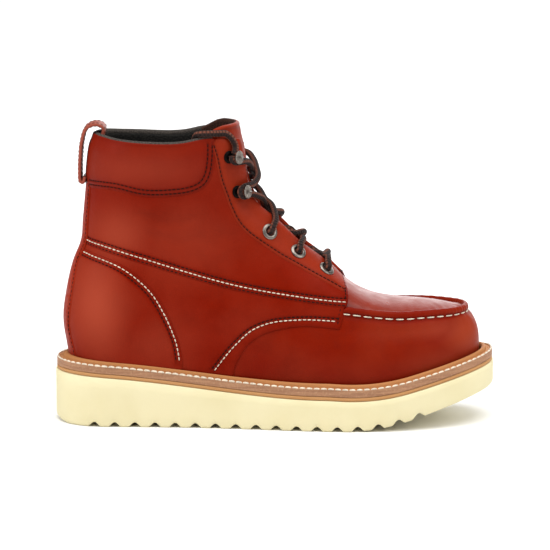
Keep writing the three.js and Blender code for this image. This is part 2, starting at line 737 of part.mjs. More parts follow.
const latheSolid = (profile, steps) =>
  new THREE.LatheGeometry(profile.map(([r, z]) => new THREE.Vector2(r, z)), steps).rotateX(Math.PI / 2);

// An eyelet: a rolled flange outside and a barrel through the leather.
function eyeletShape() {
  const lift = overlay + seat;
  const profile = [
    [eyeletHole, -leather - 0.2], [eyeletHole + 0.6, -leather - 0.2], [eyeletHole + 0.6, lift],
    [eyeletRadius, lift], [eyeletRadius, lift + 0.4 * eyeletHigh], [eyeletRadius - 1, lift + eyeletHigh],
    [eyeletHole + 0.8, lift + eyeletHigh], [eyeletHole, lift + 0.3 * eyeletHigh], [eyeletHole, -leather - 0.2],
  ];
  return latheSolid(profile, 12);
}

// A lace hook: base washer, post and domed head.
function hookShape() {
  const lift = overlay + seat;
  const top = lift + hookReach;
  const profile = [
    [0, -leather], [hookPost, -leather], [hookPost, lift], [hookBase, lift], [hookBase, lift + 0.8],
    [hookPost + 0.2, lift + 1.2], [hookPost, top - 2], [hookHead - 0.6, top - 1.6], [hookHead, top - 0.9],
    [hookHead - 0.7, top - 0.2], [0, top],
  ];
  return latheSolid(profile, 12);
}

// A round cord along a curve, as a solid.
function cord(points, steps, sides = 8) {
  const circle = Array.from({ length: sides }, (_, i) => {
    const turn = (2 * Math.PI * i) / sides;
    return new THREE.Vector2(laceRadius * Math.cos(turn), laceRadius * Math.sin(turn));
  });
  const extrudePath = new THREE.CatmullRomCurve3(points, false, "centripetal");
  const options = { steps, bevelEnabled: false, extrudePath };
  return solidFrom(new THREE.ExtrudeGeometry(new THREE.Shape(circle), options));
}

// A point above the throat: height, signed distance from the centre plane, and lift off the form.
function throatPoint(z, y, lift) {
  const { point, normal } = frontSeat(z, Math.abs(y), y < 0 ? -1 : 1, 1);
  return point.addScaledVector(normal, lift - seatLift);
}
const seatOf = (row, side) => fittings().find((f) => f.row === row && f.side === side);

// Points of a strand from a fitting on one side towards the next one of the other side.
function strand(row, side, rows) {
  const [from, to] = [seatOf(row, side), seatOf(row + 1, -side)].map(({ point }) => point.z);
  const [near, far] = [laceRows[row].out, laceRows[row + 1].out];
  return rows.map(([share, lift]) => {
    const out = collarWidth * mix(near, -far, share);
    return throatPoint(mix(from, to, share), side * out, lift);
  });
}

// Up out of an eyelet.
const leaveEyelet = (row, side) => {
  const { point, normal } = seatOf(row, side);
  return [-1.2, 2.2, 4.8].map((lift) => point.clone().addScaledVector(normal, lift));
};

// A crossing above an eyelet pair: each strand dives under the other facing below the next pair.
function laceCrossing(row) {
  const [over, under] = [[1, strandRows.overFlap], [-1, strandRows.underFlap]].map(([side, rows]) => {
    const z = mix(seatOf(row, side).point.z, seatOf(row + 1, side).point.z, 0.66);
    const edge = throatHalf(z) - laceRadius - 1.2;
    return cord([...leaveEyelet(row, side), ...strand(row, side, rows), throatPoint(z, -side * edge, -0.8)], 16);
  });
  return over.add(under);
}

// Round the post of a hook, from below and inside to above and inside.
function roundHook(row, side) {
  const { point, normal, axis } = seatOf(row, side);
  const up = new THREE.Vector3(0, 0, 1).addScaledVector(normal, -normal.z).normalize();
  const outward = new THREE.Vector3().crossVectors(normal, up).normalize();
  if (outward.y * side < 0) outward.negate();
  const centre = point.clone().addScaledVector(axis, laceLift);
  const reach = hookPost + laceRadius + 0.6;
  return [-0.9, -0.35, 0.25, 0.9].map((share) => {
    const turn = (share * Math.PI) / 2;
    const shift = up.clone().multiplyScalar(Math.sin(turn)).addScaledVector(outward, Math.cos(turn));
    return centre.clone().addScaledVector(shift, reach);
  });
}

// The top of the lacing: from the last eyelets round both pairs of hooks.
function laceTop() {
  const strands = [
    [-1, strandRows.overToHook, strandRows.underHooks],
    [1, strandRows.underToHook, strandRows.overHooks],
  ].map(([side, low, high]) =>
    cord([
      ...leaveEyelet(2, side), ...strand(2, side, low), ...roundHook(3, -side),
      ...strand(3, -side, high), ...roundHook(4, side).slice(0, 3),
    ], 56),
  );
  return strands[0].add(strands[1]);
}

// Free end of the lace: distance behind the form's front, rise over the collar edge and reach outward.
const laceEndSpots = [
  { back: 8, rise: -5, out: 6.6 },
  { back: 10.5, rise: 0, out: 4.8 },
  { back: 14.5, rise: 2.9, out: 2 },
  { back: 20.5, rise: 2.8, out: 0.5 },
  { back: 27, rise: 2.9, out: 0.4 },
  { back: 31.5, rise: 3.2, out: -0.6 },
  { back: 34.6, rise: 2.2, out: -4.8 },
  { back: 36, rise: -4, out: -8.2 },
  { back: 36.5, rise: -14, out: -10.5 },
  { back: 36.5, rise: -28, out: -11.5 },
  { back: 36.5, rise: -46, out: -12 },
];

// From the top outer hook, over the collar and into the boot.
function laceEnd() {
  const front = frontAt(collarTop);
  const wrap = roundHook(4, -1);
  const over = laceEndSpots.map(({ back, rise, out }) => {
    const x = front - back;
    const z = collarAt(x) + rise;
    return new THREE.Vector3(x, swingAt(x, z) - halfWidth(x, Math.min(z, collarTop)) - out, z);
  });
  return cord([wrap[3].clone().lerp(wrap[2], 0.5), wrap[3], ...over], 32);
}

// The model.
const boot = new THREE.Group();
const edgeY = ringOf(soleOutline(0, 400), () => 0).map(([, y]) => y);
boot.position.y = -(Math.min(...edgeY) + Math.max(...edgeY)) / 2;

function addMesh(name, solid, colour, roughness, metalness = 0) {
  const { numProp, numVert, vertProperties, triVerts } = solid.asOriginal().simplify(fineness).getMesh();
  const position = new Float32Array(numVert * 3);
  for (let i = 0; i < numVert; i += 1) {
    position.set(vertProperties.subarray(i * numProp, i * numProp + 3), i * 3);
  }
  const geometry = new THREE.BufferGeometry();
  geometry.setAttribute("position", new THREE.BufferAttribute(position, 3));
  geometry.setIndex(new THREE.BufferAttribute(new Uint32Array(triVerts), 1));
  const mesh = new THREE.Mesh(geometry, new THREE.MeshStandardMaterial({ color: colour, roughness, metalness }));
  mesh.name = name;
  boot.add(mesh);
  return mesh;
}

addMesh("outsole", outsole(), 0xf3edc6, 0.7);
addMesh("midsole", slab(weltInset, (x) => soleTop(x) + seat, midsoleTop), 0xc98a4b, 0.7);
addMesh("welt", welt(), 0xb98a63, 0.6);
addMesh("insole", insole(), 0x2b2a28, 0.9);
addMesh("upper", upper(), 0x98300f, 0.45);
addMesh("tongue", tongue(), 0x8f2f12, 0.5);
addMesh("pull_loop", pullLoop(), 0x98300f, 0.5);

const sideName = { "-1": "outer", 1: "inner" };
fittings().forEach(({ row, side, kind, matrix }) => {
  const geometry = kind === "eyelet" ? eyeletShape() : hookShape();
  addMesh(`${kind}_${row + 1}_${sideName[side]}`, solidFrom(geometry, matrix), 0x8d8478, 0.35, 0.9);
});

addMesh("lace_1", laceCrossing(0), 0x4a2418, 0.8);
addMesh("lace_2", laceCrossing(1), 0x4a2418, 0.8);
addMesh("lace_3", laceTop(), 0x4a2418, 0.8);
addMesh("lace_end", laceEnd(), 0x4a2418, 0.8);

export default boot;
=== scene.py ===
"""A red-brown moc toe work boot on a cream wedge sole, right foot, empty, on a pale floor.

The frame gives the place and size of every piece. The form of the upper is worked out here from the same
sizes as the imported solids, finely enough for panels, seams and stitches. Shapes are in millimetres until a
mesh is made. +X runs from heel to toe, +Y to the inner side of the foot and +Z up.
"""

import math

import bpy
import numpy as np
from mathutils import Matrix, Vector
from mathutils.geometry import delaunay_2d_cdt


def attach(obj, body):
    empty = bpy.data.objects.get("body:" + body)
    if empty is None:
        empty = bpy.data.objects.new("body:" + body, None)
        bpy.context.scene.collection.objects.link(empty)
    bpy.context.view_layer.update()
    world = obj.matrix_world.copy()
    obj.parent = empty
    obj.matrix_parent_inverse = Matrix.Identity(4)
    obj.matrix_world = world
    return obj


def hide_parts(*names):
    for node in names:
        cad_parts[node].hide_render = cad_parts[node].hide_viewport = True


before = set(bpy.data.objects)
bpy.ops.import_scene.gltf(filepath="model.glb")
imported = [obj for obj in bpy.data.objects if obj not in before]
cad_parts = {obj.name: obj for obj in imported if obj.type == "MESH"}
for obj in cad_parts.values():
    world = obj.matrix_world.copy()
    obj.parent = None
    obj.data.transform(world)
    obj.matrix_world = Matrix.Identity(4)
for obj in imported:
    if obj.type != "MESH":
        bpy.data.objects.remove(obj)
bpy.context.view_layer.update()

METRE = 0.001

# The camera looks along +Y from a little above, as the photo does.
CAMERA_ELEVATION = math.radians(9)
CAMERA_DISTANCE = 2.2
CAMERA_TARGET = Vector((0.0002, 0, 0.1))
VIEW_WIDTH = 0.382
SENSOR = 36.0

camera_data = bpy.data.cameras.new("camera")
camera_data.sensor_width = SENSOR
camera_data.lens = SENSOR * CAMERA_DISTANCE / VIEW_WIDTH
camera_data.clip_end = 20
camera = bpy.data.objects.new("camera", camera_data)
bpy.context.scene.collection.objects.link(camera)
bpy.context.scene.camera = camera
toward = Vector((0, -math.cos(CAMERA_ELEVATION), math.sin(CAMERA_ELEVATION)))
camera.location = CAMERA_TARGET + CAMERA_DISTANCE * toward
camera.rotation_euler = toward.to_track_quat("Z", "Y").to_euler()

# Driving sizes, in millimetres. The form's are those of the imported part.
SOLE_LENGTH = 305.0
BALL_WIDTH = 111.0
HEEL_STACK, BALL_STACK, TOE_STACK = 35.5, 21.5, 16.0
TOE_ROCKER_RADIUS, TOE_ROCKER_SLOPE, TOE_ROCKER_START = 160.0, 0.3, 45.0
HEEL_BEVEL, HEEL_BEVEL_RUN = 3.0, 12.0
MIDSOLE_THICK = 2.4
WELT_EDGE, WELT_RISE = 5.2, 3.0
WELT_MARGIN, HEEL_MARGIN, TOE_MARGIN = 8.0, 5.5, 10.0
SEAT = 0.3
SHAFT_HEIGHT, COLLAR_WIDTH, INSTEP_HEIGHT = 150.0, 78.0, 65.0


def table(columns, *rows):
    """Rows of values as dictionaries with the names of their columns."""
    names = columns.split()
    return [dict(zip(names, row)) for row in rows]


SOLE_ROWS = table(
    "at half swing",
    (0, 0.354, 0), (0.15, 0.354, 0), (0.25, 0.356, -0.009), (0.35, 0.36, -0.028),
    (0.45, 0.383, -0.046), (0.55, 0.428, -0.049), (0.63, 0.47, -0.036), (0.7, 0.493, -0.018),
    (0.76, 0.498, -0.002), (0.84, 0.488, 0.016), (0.92, 0.465, 0.027), (1, 0.44, 0.031),
)
WEDGE_END, TOE_START = 0.6, 0.62
TOE_ROUND_SHARE, TOE_ROUND_POWER = 0.26, 2.25
HEEL_ROUND_SHARE, HEEL_ROUND_POWER = 0.125, 2.05

FOOT_ROWS = table(
    "at half shoulder crown round",
    (0.1, 0.27, 0.69, 1.46, 0.5), (0.3, 0.297, 0.71, 1.9, 0.5),
    (0.45, 0.324, 0.72, 1.74, 0.5), (0.55, 0.336, 0.74, 1.465, 0.5),
    (0.62, 0.342, 0.75, 1.25, 0.5), (0.684, 0.345, 0.73, 0.994, 0.55),
    (0.74, 0.345, 0.685, 0.85, 0.62), (0.81, 0.341, 0.612, 0.745, 0.75),
    (0.88, 0.333, 0.54, 0.64, 0.85), (0.94, 0.325, 0.472, 0.53, 0.9),
    (1, 0.315, 0.415, 0.445, 0.9),
)
SHAFT_ROWS = table(
    "up back front half back_round front_round",
    (-0.08, 0.022, 0.6, 0.428, 0.44, 0.77), (0.01, 0.0176, 0.6, 0.434, 0.44, 0.77),
    (0.16, 0.007, 0.64, 0.45, 0.45, 0.77), (0.3, 0.016, 0.66, 0.436, 0.48, 0.75),
    (0.42, 0.031, 0.635, 0.414, 0.52, 0.68), (0.52, 0.051, 0.578, 0.415, 0.53, 0.62),
    (0.62, 0.056, 0.527, 0.428, 0.53, 0.55), (0.7, 0.06, 0.48, 0.448, 0.52, 0.5),
    (0.78, 0.064, 0.459, 0.468, 0.51, 0.47), (0.92, 0.071, 0.45, 0.492, 0.5, 0.45),
    (1.03, 0.082, 0.44, 0.5, 0.48, 0.45), (1.18, 0.1, 0.425, 0.495, 0.48, 0.45),
)
TOE_LEAN, TOE_LEAN_POWER, TOE_REACH_LOW, TOE_REACH_HIGH, TOE_END = 8.0, 3.0, 0.262, 0.214, 2.3
# The wall's belly and the power of its lean, how softly foot and shaft meet, and where the swing fades out.
BELLY, BELLY_PITCH, WALL_POWER = 1.7, 1.3, 1.8
INSTEP_BLEND = 8.0
SWING_FADE_START, SWING_FADE_LENGTH = 25.0, 75.0
COLLAR_ROWS = table(
    "at high",
    (0, 1.028), (0.08, 1.024), (0.14, 1.008), (0.24, 0.997),
    (0.29, 1.001), (0.35, 1.022), (0.42, 1.012), (0.5, 0.985),
)


def mix(a, b, t):
    return a + (b - a) * t


def smooth(t):
    t = np.clip(t, 0, 1)
    return t * t * (3 - 2 * t)


def column(rows, key, name):
    """A smooth curve through one column of a table."""
    knots = np.array([row[key] for row in rows], float)
    values = np.array([row[name] for row in rows], float)
    before = np.maximum(np.arange(len(rows)) - 1, 0)
    after = np.minimum(np.arange(len(rows)) + 1, len(rows) - 1)
    slopes = (values[after] - values[before]) / (knots[after] - knots[before])

    def curve(at):
        t = np.clip(np.asarray(at, float), knots[0], knots[-1])
        i = np.clip(np.searchsorted(knots, t, side="left") - 1, 0, len(knots) - 2)
        span = knots[i + 1] - knots[i]
        s = (t - knots[i]) / span
        return (
            values[i] * (1 + 2 * s) * (1 - s) ** 2
            + slopes[i] * span * s * (1 - s) ** 2
            + values[i + 1] * s * s * (3 - 2 * s)
            + slopes[i + 1] * span * s * s * (s - 1)
        )

    return curve


def two_sides(x, centre, half, z):
    """Points of an outline's outer and inner side."""
    return [np.stack(np.broadcast_arrays(x, centre + side * half, z), axis=-1) for side in (-1, 1)]


def round_end(t, power=2.0):
    return (1 - (1 - np.clip(t, 0, 1)) ** power) ** (1 / power)


def soft_max(a, b, reach):
    blend = np.maximum(np.minimum(np.minimum(a, b), reach), 1e-9)
    h = np.maximum(blend - np.abs(a - b), 0)
    return np.maximum(a, b) + np.where(np.minimum(a, b) > 0, h * h / (4 * blend), 0)


sole_half = column(SOLE_ROWS, "at", "half")
sole_swing = column(SOLE_ROWS, "at", "swing")


def sole_share(x):
    return x / SOLE_LENGTH + 0.5


def swing(x):
    return BALL_WIDTH * sole_swing(sole_share(x))


def bottom_rise(x):
    past = np.asarray(x, float) - TOE_ROCKER_START
    arc = TOE_ROCKER_RADIUS * TOE_ROCKER_SLOPE
    straight = TOE_ROCKER_SLOPE * (past - arc / 2)
    toe = np.where(past <= 0, 0, np.where(past < arc, past**2 / (2 * TOE_ROCKER_RADIUS), straight))
    from_heel = x + SOLE_LENGTH / 2
    return toe + HEEL_BEVEL * np.clip((HEEL_BEVEL_RUN - from_heel) / HEEL_BEVEL_RUN, 0, 1) ** 2


def sole_top(x):
    s = sole_share(np.asarray(x, float))
    wedge = mix(HEEL_STACK, BALL_STACK, smooth(s / WEDGE_END))
    toe = mix(BALL_STACK, TOE_STACK, (s - TOE_START) / (1 - TOE_START))
    thick = np.where(s < TOE_START, wedge, toe)
    return thick + bottom_rise(np.maximum(x, 0))


def midsole_top(x):
    return sole_top(x) + SEAT + MIDSOLE_THICK


def welt_floor(x):
    return midsole_top(x) + SEAT


def feather(x):
    return welt_floor(x) + WELT_EDGE + WELT_RISE


UPPER_BACK = -SOLE_LENGTH / 2 + HEEL_MARGIN
UPPER_FRONT = SOLE_LENGTH / 2 - TOE_MARGIN
UPPER_LENGTH = UPPER_FRONT - UPPER_BACK
HEEL_FEATHER = float(feather(UPPER_BACK))
COLLAR_TOP = HEEL_FEATHER + SHAFT_HEIGHT
FOOT = {name: column(FOOT_ROWS, "at", name) for name in ("half", "shoulder", "crown", "round")}
SHAFT_COLUMNS = ("back", "front", "half", "back_round", "front_round")
SHAFT = {name: column(SHAFT_ROWS, "up", name) for name in SHAFT_COLUMNS}
collar_high = column(COLLAR_ROWS, "at", "high")


def upper_share(x):
    return (np.asarray(x, float) - UPPER_BACK) / UPPER_LENGTH


def shaft(name, z):
    return SHAFT[name]((np.asarray(z, float) - HEEL_FEATHER) / SHAFT_HEIGHT)


def shoulder_at(x):
    return feather(x) + INSTEP_HEIGHT * FOOT["shoulder"](upper_share(x))


def crown_at(x):
    return feather(x) + INSTEP_HEIGHT * FOOT["crown"](upper_share(x))


def back_at(z):
    return UPPER_BACK + UPPER_LENGTH * shaft("back", z)


def front_at(z):
    return UPPER_BACK + UPPER_LENGTH * shaft("front", z)


def toe_front(v):
    return UPPER_FRONT - TOE_LEAN * v**TOE_LEAN_POWER


def foot_half(x, z):
    v = np.clip((z - feather(x)) / (shoulder_at(x) - feather(x)), 0, 1)
    low = BALL_WIDTH * sole_half(sole_share(x)) - WELT_MARGIN
    high = BALL_WIDTH * FOOT["half"](upper_share(x))
    belly = BELLY * np.sin(np.pi * np.minimum(1, v * BELLY_PITCH))
    reach = UPPER_LENGTH * mix(TOE_REACH_LOW, TOE_REACH_HIGH, v)
    toe = round_end((toe_front(v) - x) / reach, TOE_END)
    over = np.maximum(z - shoulder_at(x), 0) / (crown_at(x) - shoulder_at(x))
    crown = np.sqrt(1 - np.clip(over, 0, 1) ** (1 / FOOT["round"](upper_share(x))))
    return (mix(low, high, v**WALL_POWER) + belly) * toe * crown


def half_width(x, z):
    front = round_end((front_at(z) - x) / (COLLAR_WIDTH * shaft("front_round", z)))
    column_half = COLLAR_WIDTH * shaft("half", z) * front
    heel = round_end((x - back_at(z)) / (COLLAR_WIDTH * shaft("back_round", z)))
    return soft_max(foot_half(x, z), column_half, INSTEP_BLEND) * heel


def swing_at(x, z):
    return swing(x) * (1 - smooth((z - feather(x) - SWING_FADE_START) / SWING_FADE_LENGTH))


def collar_at(x):
    return HEEL_FEATHER + SHAFT_HEIGHT * collar_high(upper_share(x))


# Sizes of the details, in millimetres.
LEATHER, COLLAR_PAD, OVERLAY = 2.6, 2.6, 1.3
THROAT_BASE, THROAT_BOTTOM, THROAT_TOP, THROAT_POWER = 95.0, 6.0, 21.0, 0.8
TONGUE_THICK, TONGUE_GAP = 4.5, 0.9
LACE_RADIUS, LACE_LIFT = 2.3, 5.7
HOOK_POST, HOOK_LEAN = 1.3, 0.43
EYELET_HOLE, EYELET_RADIUS, HOOK_BASE, HOOK_HEAD, HOOK_REACH = 2.7, 5.6, 4.4, 4.6, 8.6
EYELET_HIGH, SEAT_LIFT = 0.9, 0.35
WELT_INSET, EDGE_ROUND, INSOLE_THICK = 0.8, 1.6, 7.0
LUG_PITCH, LUG_GAP, LUG_DEPTH, LUG_FIRST, LUG_COUNT = 13.9, 7.4, 2.9, -124.0, 17
LOOP_WIDTH, LOOP_THICK, LOOP_RISE = 22.0, 2.6, 5.2
LACE_ROWS = table(
    "up out kind",
    (0.4, 0.275, "eyelet"), (0.481, 0.29, "eyelet"), (0.578, 0.322, "eyelet"),
    (0.767, 0.355, "hook"), (0.93, 0.405, "hook"),
)
SIDES = {"outer": -1, "inner": 1}


def throat_half(z):
    t = np.clip((z - THROAT_BASE) / (COLLAR_TOP - THROAT_BASE), 0, 1)
    return mix(THROAT_BOTTOM, THROAT_TOP, t**THROAT_POWER)


def sole_outline(inset, x):
    """Half width of the sole at x, pulled in all round by inset."""
    half = SOLE_LENGTH / 2 - inset
    s = (x + half) / (2 * half)
    full = BALL_WIDTH * sole_half(sole_share(x)) - inset
    toe = round_end((1 - s) / TOE_ROUND_SHARE, TOE_ROUND_POWER)
    return full * toe * round_end(s / HEEL_ROUND_SHARE, HEEL_ROUND_POWER)


def centre_shift():
    """How far the model moves along Y so that the sole is centred."""
    x = -SOLE_LENGTH / 2 * np.cos(np.pi * np.linspace(0, 1, 401))
    half = sole_outline(0, x)
    return -(np.min(swing(x) - half) + np.max(swing(x) + half)) / 2


Y_SHIFT = centre_shift()


# Curves and meshes.


def unit(v):
    return v / np.maximum(np.linalg.norm(v, axis=-1, keepdims=True), 1e-12)


def distances(path):
    """How far along a path each of its points is."""
    return np.concatenate([[0], np.cumsum(np.linalg.norm(np.diff(path, axis=0), axis=1))])


def table_at(at, run, table):
    """The rows of a table, read between the places that run gives them."""
    return np.stack([np.interp(at, run, values) for values in table.T], axis=-1)


def resample(points, spacing):
    points = np.asarray(points, float)
    run = distances(points)
    return table_at(np.linspace(0, run[-1], max(2, round(run[-1] / spacing) + 1)), run, points)


def spline(points, spacing):
    """Evenly spaced points on the centripetal curve through the given ones."""
    points = np.asarray(points, float)
    ends = [2 * points[0] - points[1], *points, 2 * points[-1] - points[-2]]
    s = np.linspace(0, 1, 24, endpoint=False)[:, None]
    fine = []
    for p0, p1, p2, p3 in zip(ends, ends[1:], ends[2:], ends[3:]):
        t0, t1, t2 = (math.sqrt(max(np.linalg.norm(b - a), 1e-9)) for a, b in ((p0, p1), (p1, p2), (p2, p3)))
        m1 = ((p1 - p0) / t0 - (p2 - p0) / (t0 + t1) + (p2 - p1) / t1) * t1
        m2 = ((p2 - p1) / t1 - (p3 - p1) / (t1 + t2) + (p3 - p2) / t2) * t1
        fine.append(
            p1 * (1 + 2 * s) * (1 - s) ** 2 + m1 * s * (1 - s) ** 2
            + p2 * s * s * (3 - 2 * s) + m2 * s * s * (s - 1)
        )
    return resample(np.concatenate([*fine, points[-1:]]), spacing)


def add_mesh(name, points, faces, material, slot, replaces=(), uv=None, tone=None):
    """A piece of the boot, from points in millimetres. tone marks leather: paler below 0, as painted
    highlight, and deeper above it, as painted shade.
    """
    points = (np.asarray(points, float) + [0, Y_SHIFT, 0]) * METRE
    mesh = bpy.data.meshes.new(name)
    mesh.from_pydata(points.tolist(), [], [tuple(map(int, face)) for face in faces])
    mesh.materials.append(material)
    mesh.polygons.foreach_set("use_smooth", np.ones(len(mesh.polygons), bool))
    if uv is not None:
        corner = np.zeros(len(mesh.loops), np.int32)
        mesh.loops.foreach_get("vertex_index", corner)
        layer = mesh.uv_layers.new(name="along")
        layer.data.foreach_set("uv", np.asarray(uv, np.float32)[corner].ravel())
    if tone is not None:
        marks = mesh.attributes.new("tone", "FLOAT", "POINT")
        marks.data.foreach_set("value", np.asarray(tone, np.float32))
    piece = bpy.data.objects.new(name, mesh)
    bpy.context.scene.collection.objects.link(piece)
    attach(piece, "root")
    if replaces:
        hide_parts(*replaces)
    return piece


def grid_faces(rows, columns, closed=False):
    """Quads between rows of points. With closed, each row's last point meets its first."""
    i, j = np.meshgrid(np.arange(rows - 1), np.arange(columns if closed else columns - 1), indexing="ij")
    after = (j + 1) % columns
    here, above = i * columns, (i + 1) * columns
    return np.stack([here + j, here + after, above + after, above + j], -1).reshape(-1, 4).tolist()


def joined(parts):
    """Several pairs of points and faces as one pair."""
    points, faces, start = [], [], 0
    for part_points, part_faces in parts:
        points.append(np.asarray(part_points, float).reshape(-1, 3))
        faces += [[i + start for i in face] for face in part_faces]
        start += len(points[-1])
    return np.concatenate(points), faces


def tube_frames(path):
    """Tangents of a path and two side directions that turn as little as possible."""
    tangent = unit(np.gradient(path, axis=0))
    side = np.zeros_like(path)
    first = np.cross(tangent[0], [0, 0, 1])
    side[0] = unit(first) if np.linalg.norm(first) > 1e-3 else [1, 0, 0]
    for i in range(1, len(path)):
        side[i] = unit(side[i - 1] - tangent[i] * np.dot(side[i - 1], tangent[i]))
    return tangent, side, np.cross(tangent, side)


def tube(path, radius, sides=14):
    """A round tube with closed ends, and its map of length along and share round."""
    path = np.asarray(path, float)
    _, a, b = tube_frames(path)
    turn = np.linspace(0, 2 * np.pi, sides + 1)
    radius = np.broadcast_to(np.asarray(radius, float), len(path))[:, None, None]
    ring = a[:, None] * np.cos(turn)[:, None] + b[:, None] * np.sin(turn)[:, None]
    points = (path[:, None] + ring * radius).reshape(-1, 3)
    faces = grid_faces(len(path), sides + 1)
    faces.append(list(range(sides))[::-1])
    faces.append([(len(path) - 1) * (sides + 1) + k for k in range(sides)])
    run = distances(path)
    uv = np.stack(np.broadcast_arrays(run[:, None] * METRE, turn[None] / (2 * np.pi)), axis=-1).reshape(-1, 2)
    return points, faces, uv


def lathe(profile, turn, point, steps=48, flutes=0, flute_depth=0.0, fluted=()):
    """A profile of (radius, height) turned round its axis and set in place by a rotation and a point. The
    fluted rows of the profile rise and fall as rays."""
    angle = np.linspace(0, 2 * np.pi, steps, endpoint=False)
    rows = []
    for k, (radius, height) in enumerate(profile):
        level = height + flute_depth * np.cos(flutes * angle) * (k in fluted)
        rows.append(np.stack([radius * np.cos(angle), radius * np.sin(angle), level], axis=-1))
    points = np.concatenate(rows) @ turn.T + point
    return points, grid_faces(len(profile), steps, closed=True)


# The form of the upper as a chart: rows of height and columns of distance round it from the back.
# The distance is negative on the outer side of the foot and positive on the inner side.

CHART_LOW, CHART_HIGH, CHART_REACH = 16, 222, 250


def front_face(z, out=0.0):
    """Where the form's front is a given distance from the centre plane."""
    z, out = np.broadcast_arrays(np.asarray(z, float), np.asarray(out, float))
    inside = front_at(z) - 0.5 * COLLAR_WIDTH
    outside = np.full(z.shape, UPPER_FRONT + 5)
    for _ in range(40):
        middle = (inside + outside) / 2
        wide = half_width(middle, z) > out
        inside = np.where(wide, middle, inside)
        outside = np.where(wide, outside, middle)
    return (inside + outside) / 2


def chart_rows():
    run = np.arange(CHART_REACH + 1.0)
    columns_x, columns_y, lengths = [], [], []
    heights = np.arange(CHART_LOW, CHART_HIGH + 1.0)
    for z, front, back in zip(heights, front_face(heights), back_at(heights)):
        x = mix(back, front, (1 - np.cos(np.pi * np.linspace(0, 1, 900))) / 2)
        y = half_width(x, z)
        y[[0, -1]] = 0
        far = np.concatenate([[0], np.cumsum(np.hypot(np.diff(x), np.diff(y)))])
        past_front = run > far[-1]
        folded = np.where(past_front, 2 * far[-1] - run, run)
        columns_x.append(np.interp(folded, far, x))
        columns_y.append(np.interp(folded, far, y) * np.where(past_front, -1, 1))
        lengths.append(far[-1])
    return heights, np.array(columns_x), np.array(columns_y), np.array(lengths)


HEIGHTS, ROW_X, ROW_Y, ROW_LENGTH = chart_rows()


def chart_table():
    z = np.broadcast_to(HEIGHTS[:, None], ROW_X.shape)
    outer, inner = two_sides(ROW_X, swing_at(ROW_X, z), ROW_Y, z)
    spots = np.concatenate([outer[:, :0:-1], inner], axis=1)
    normals = unit(np.cross(np.gradient(spots, axis=0), np.gradient(spots, axis=1)))
    return spots, normals


SPOTS, NORMALS = chart_table()


def skin(s, z, lift=0.0):
    """Points on the form at a distance round it and a height, lifted along its normal."""
    i = np.clip(np.asarray(z, float) - CHART_LOW, 0, SPOTS.shape[0] - 1.001)
    j = np.clip(np.asarray(s, float) + CHART_REACH, 0, SPOTS.shape[1] - 1.001)
    i, j = np.broadcast_arrays(i, j)
    i0, j0 = i.astype(int), j.astype(int)
    a, b = (i - i0)[..., None], (j - j0)[..., None]

    def look(table):
        low = mix(table[i0, j0], table[i0, j0 + 1], b)
        return mix(low, mix(table[i0 + 1, j0], table[i0 + 1, j0 + 1], b), a)

    return look(SPOTS) + unit(look(NORMALS)) * np.asarray(lift, float)[..., None]


def row_at(table, z):
    i = float(np.clip(z - CHART_LOW, 0, len(HEIGHTS) - 1.001))
    return mix(table[int(i)], table[int(i) + 1], i - int(i))


def run_at(x, z):
    """Distance round the form from the back to an x at a height."""
    end = int(min(row_at(ROW_LENGTH, z), CHART_REACH))
    row = np.maximum.accumulate(row_at(ROW_X, z)[: end + 1])
    return float(np.interp(x, row, np.arange(end + 1)))


def run_at_gap(z, gap):
    """Distance round the form from the back to where its front is a given distance from the centre plane."""
    end = int(min(row_at(ROW_LENGTH, z), CHART_REACH))
    start = end // 2
    return float(np.interp(-gap, -row_at(ROW_Y, z)[start : end + 1], np.arange(start, end + 1)))


def seam(spots, spacing=1.3):
    """A line given in side view as (x, z) spots, as evenly spaced points of the chart."""
    return spline([(run_at(x, z), z) for x, z in spots], spacing)


def shifted(line, distance):
    """A line of the chart moved to the left of its direction."""
    along = unit(np.gradient(line, axis=0))
    return line + np.stack([-along[:, 1], along[:, 0]], axis=1) * distance


def inside_loop(points, loop):
    x, y = points[:, :1], points[:, 1:]
    ax, ay = loop.T
    bx, by = np.roll(loop, -1, axis=0).T
    rise = np.where(np.abs(by - ay) < 1e-9, 1e-9, by - ay)
    crossed = ((ay > y) != (by > y)) & (x < ax + (y - ay) * (bx - ax) / rise)
    return crossed.sum(axis=1) % 2 == 1


def distance_to(points, line, closed=False):
    """Distance of each point from a line of points, measured to its segments."""
    starts = line if closed else line[:-1]
    step = (np.roll(line, -1, axis=0) if closed else line[1:]) - starts
    nearest = []
    for block in np.array_split(points, max(1, len(points) // 4000)):
        gap = block[:, None] - starts
        t = np.clip((gap * step).sum(-1) / np.maximum((step * step).sum(-1), 1e-12), 0, 1)
        nearest.append(np.linalg.norm(gap - step * t[..., None], axis=-1).min(axis=1))
    return np.concatenate(nearest)


# Finishes.


def paint(red, green, blue):
    """A linear colour from 8-bit display values."""
    values = [c / 255 for c in (red, green, blue)]
    return (*[v / 12.92 if v < 0.04045 else ((v + 0.055) / 1.055) ** 2.4 for v in values], 1.0)


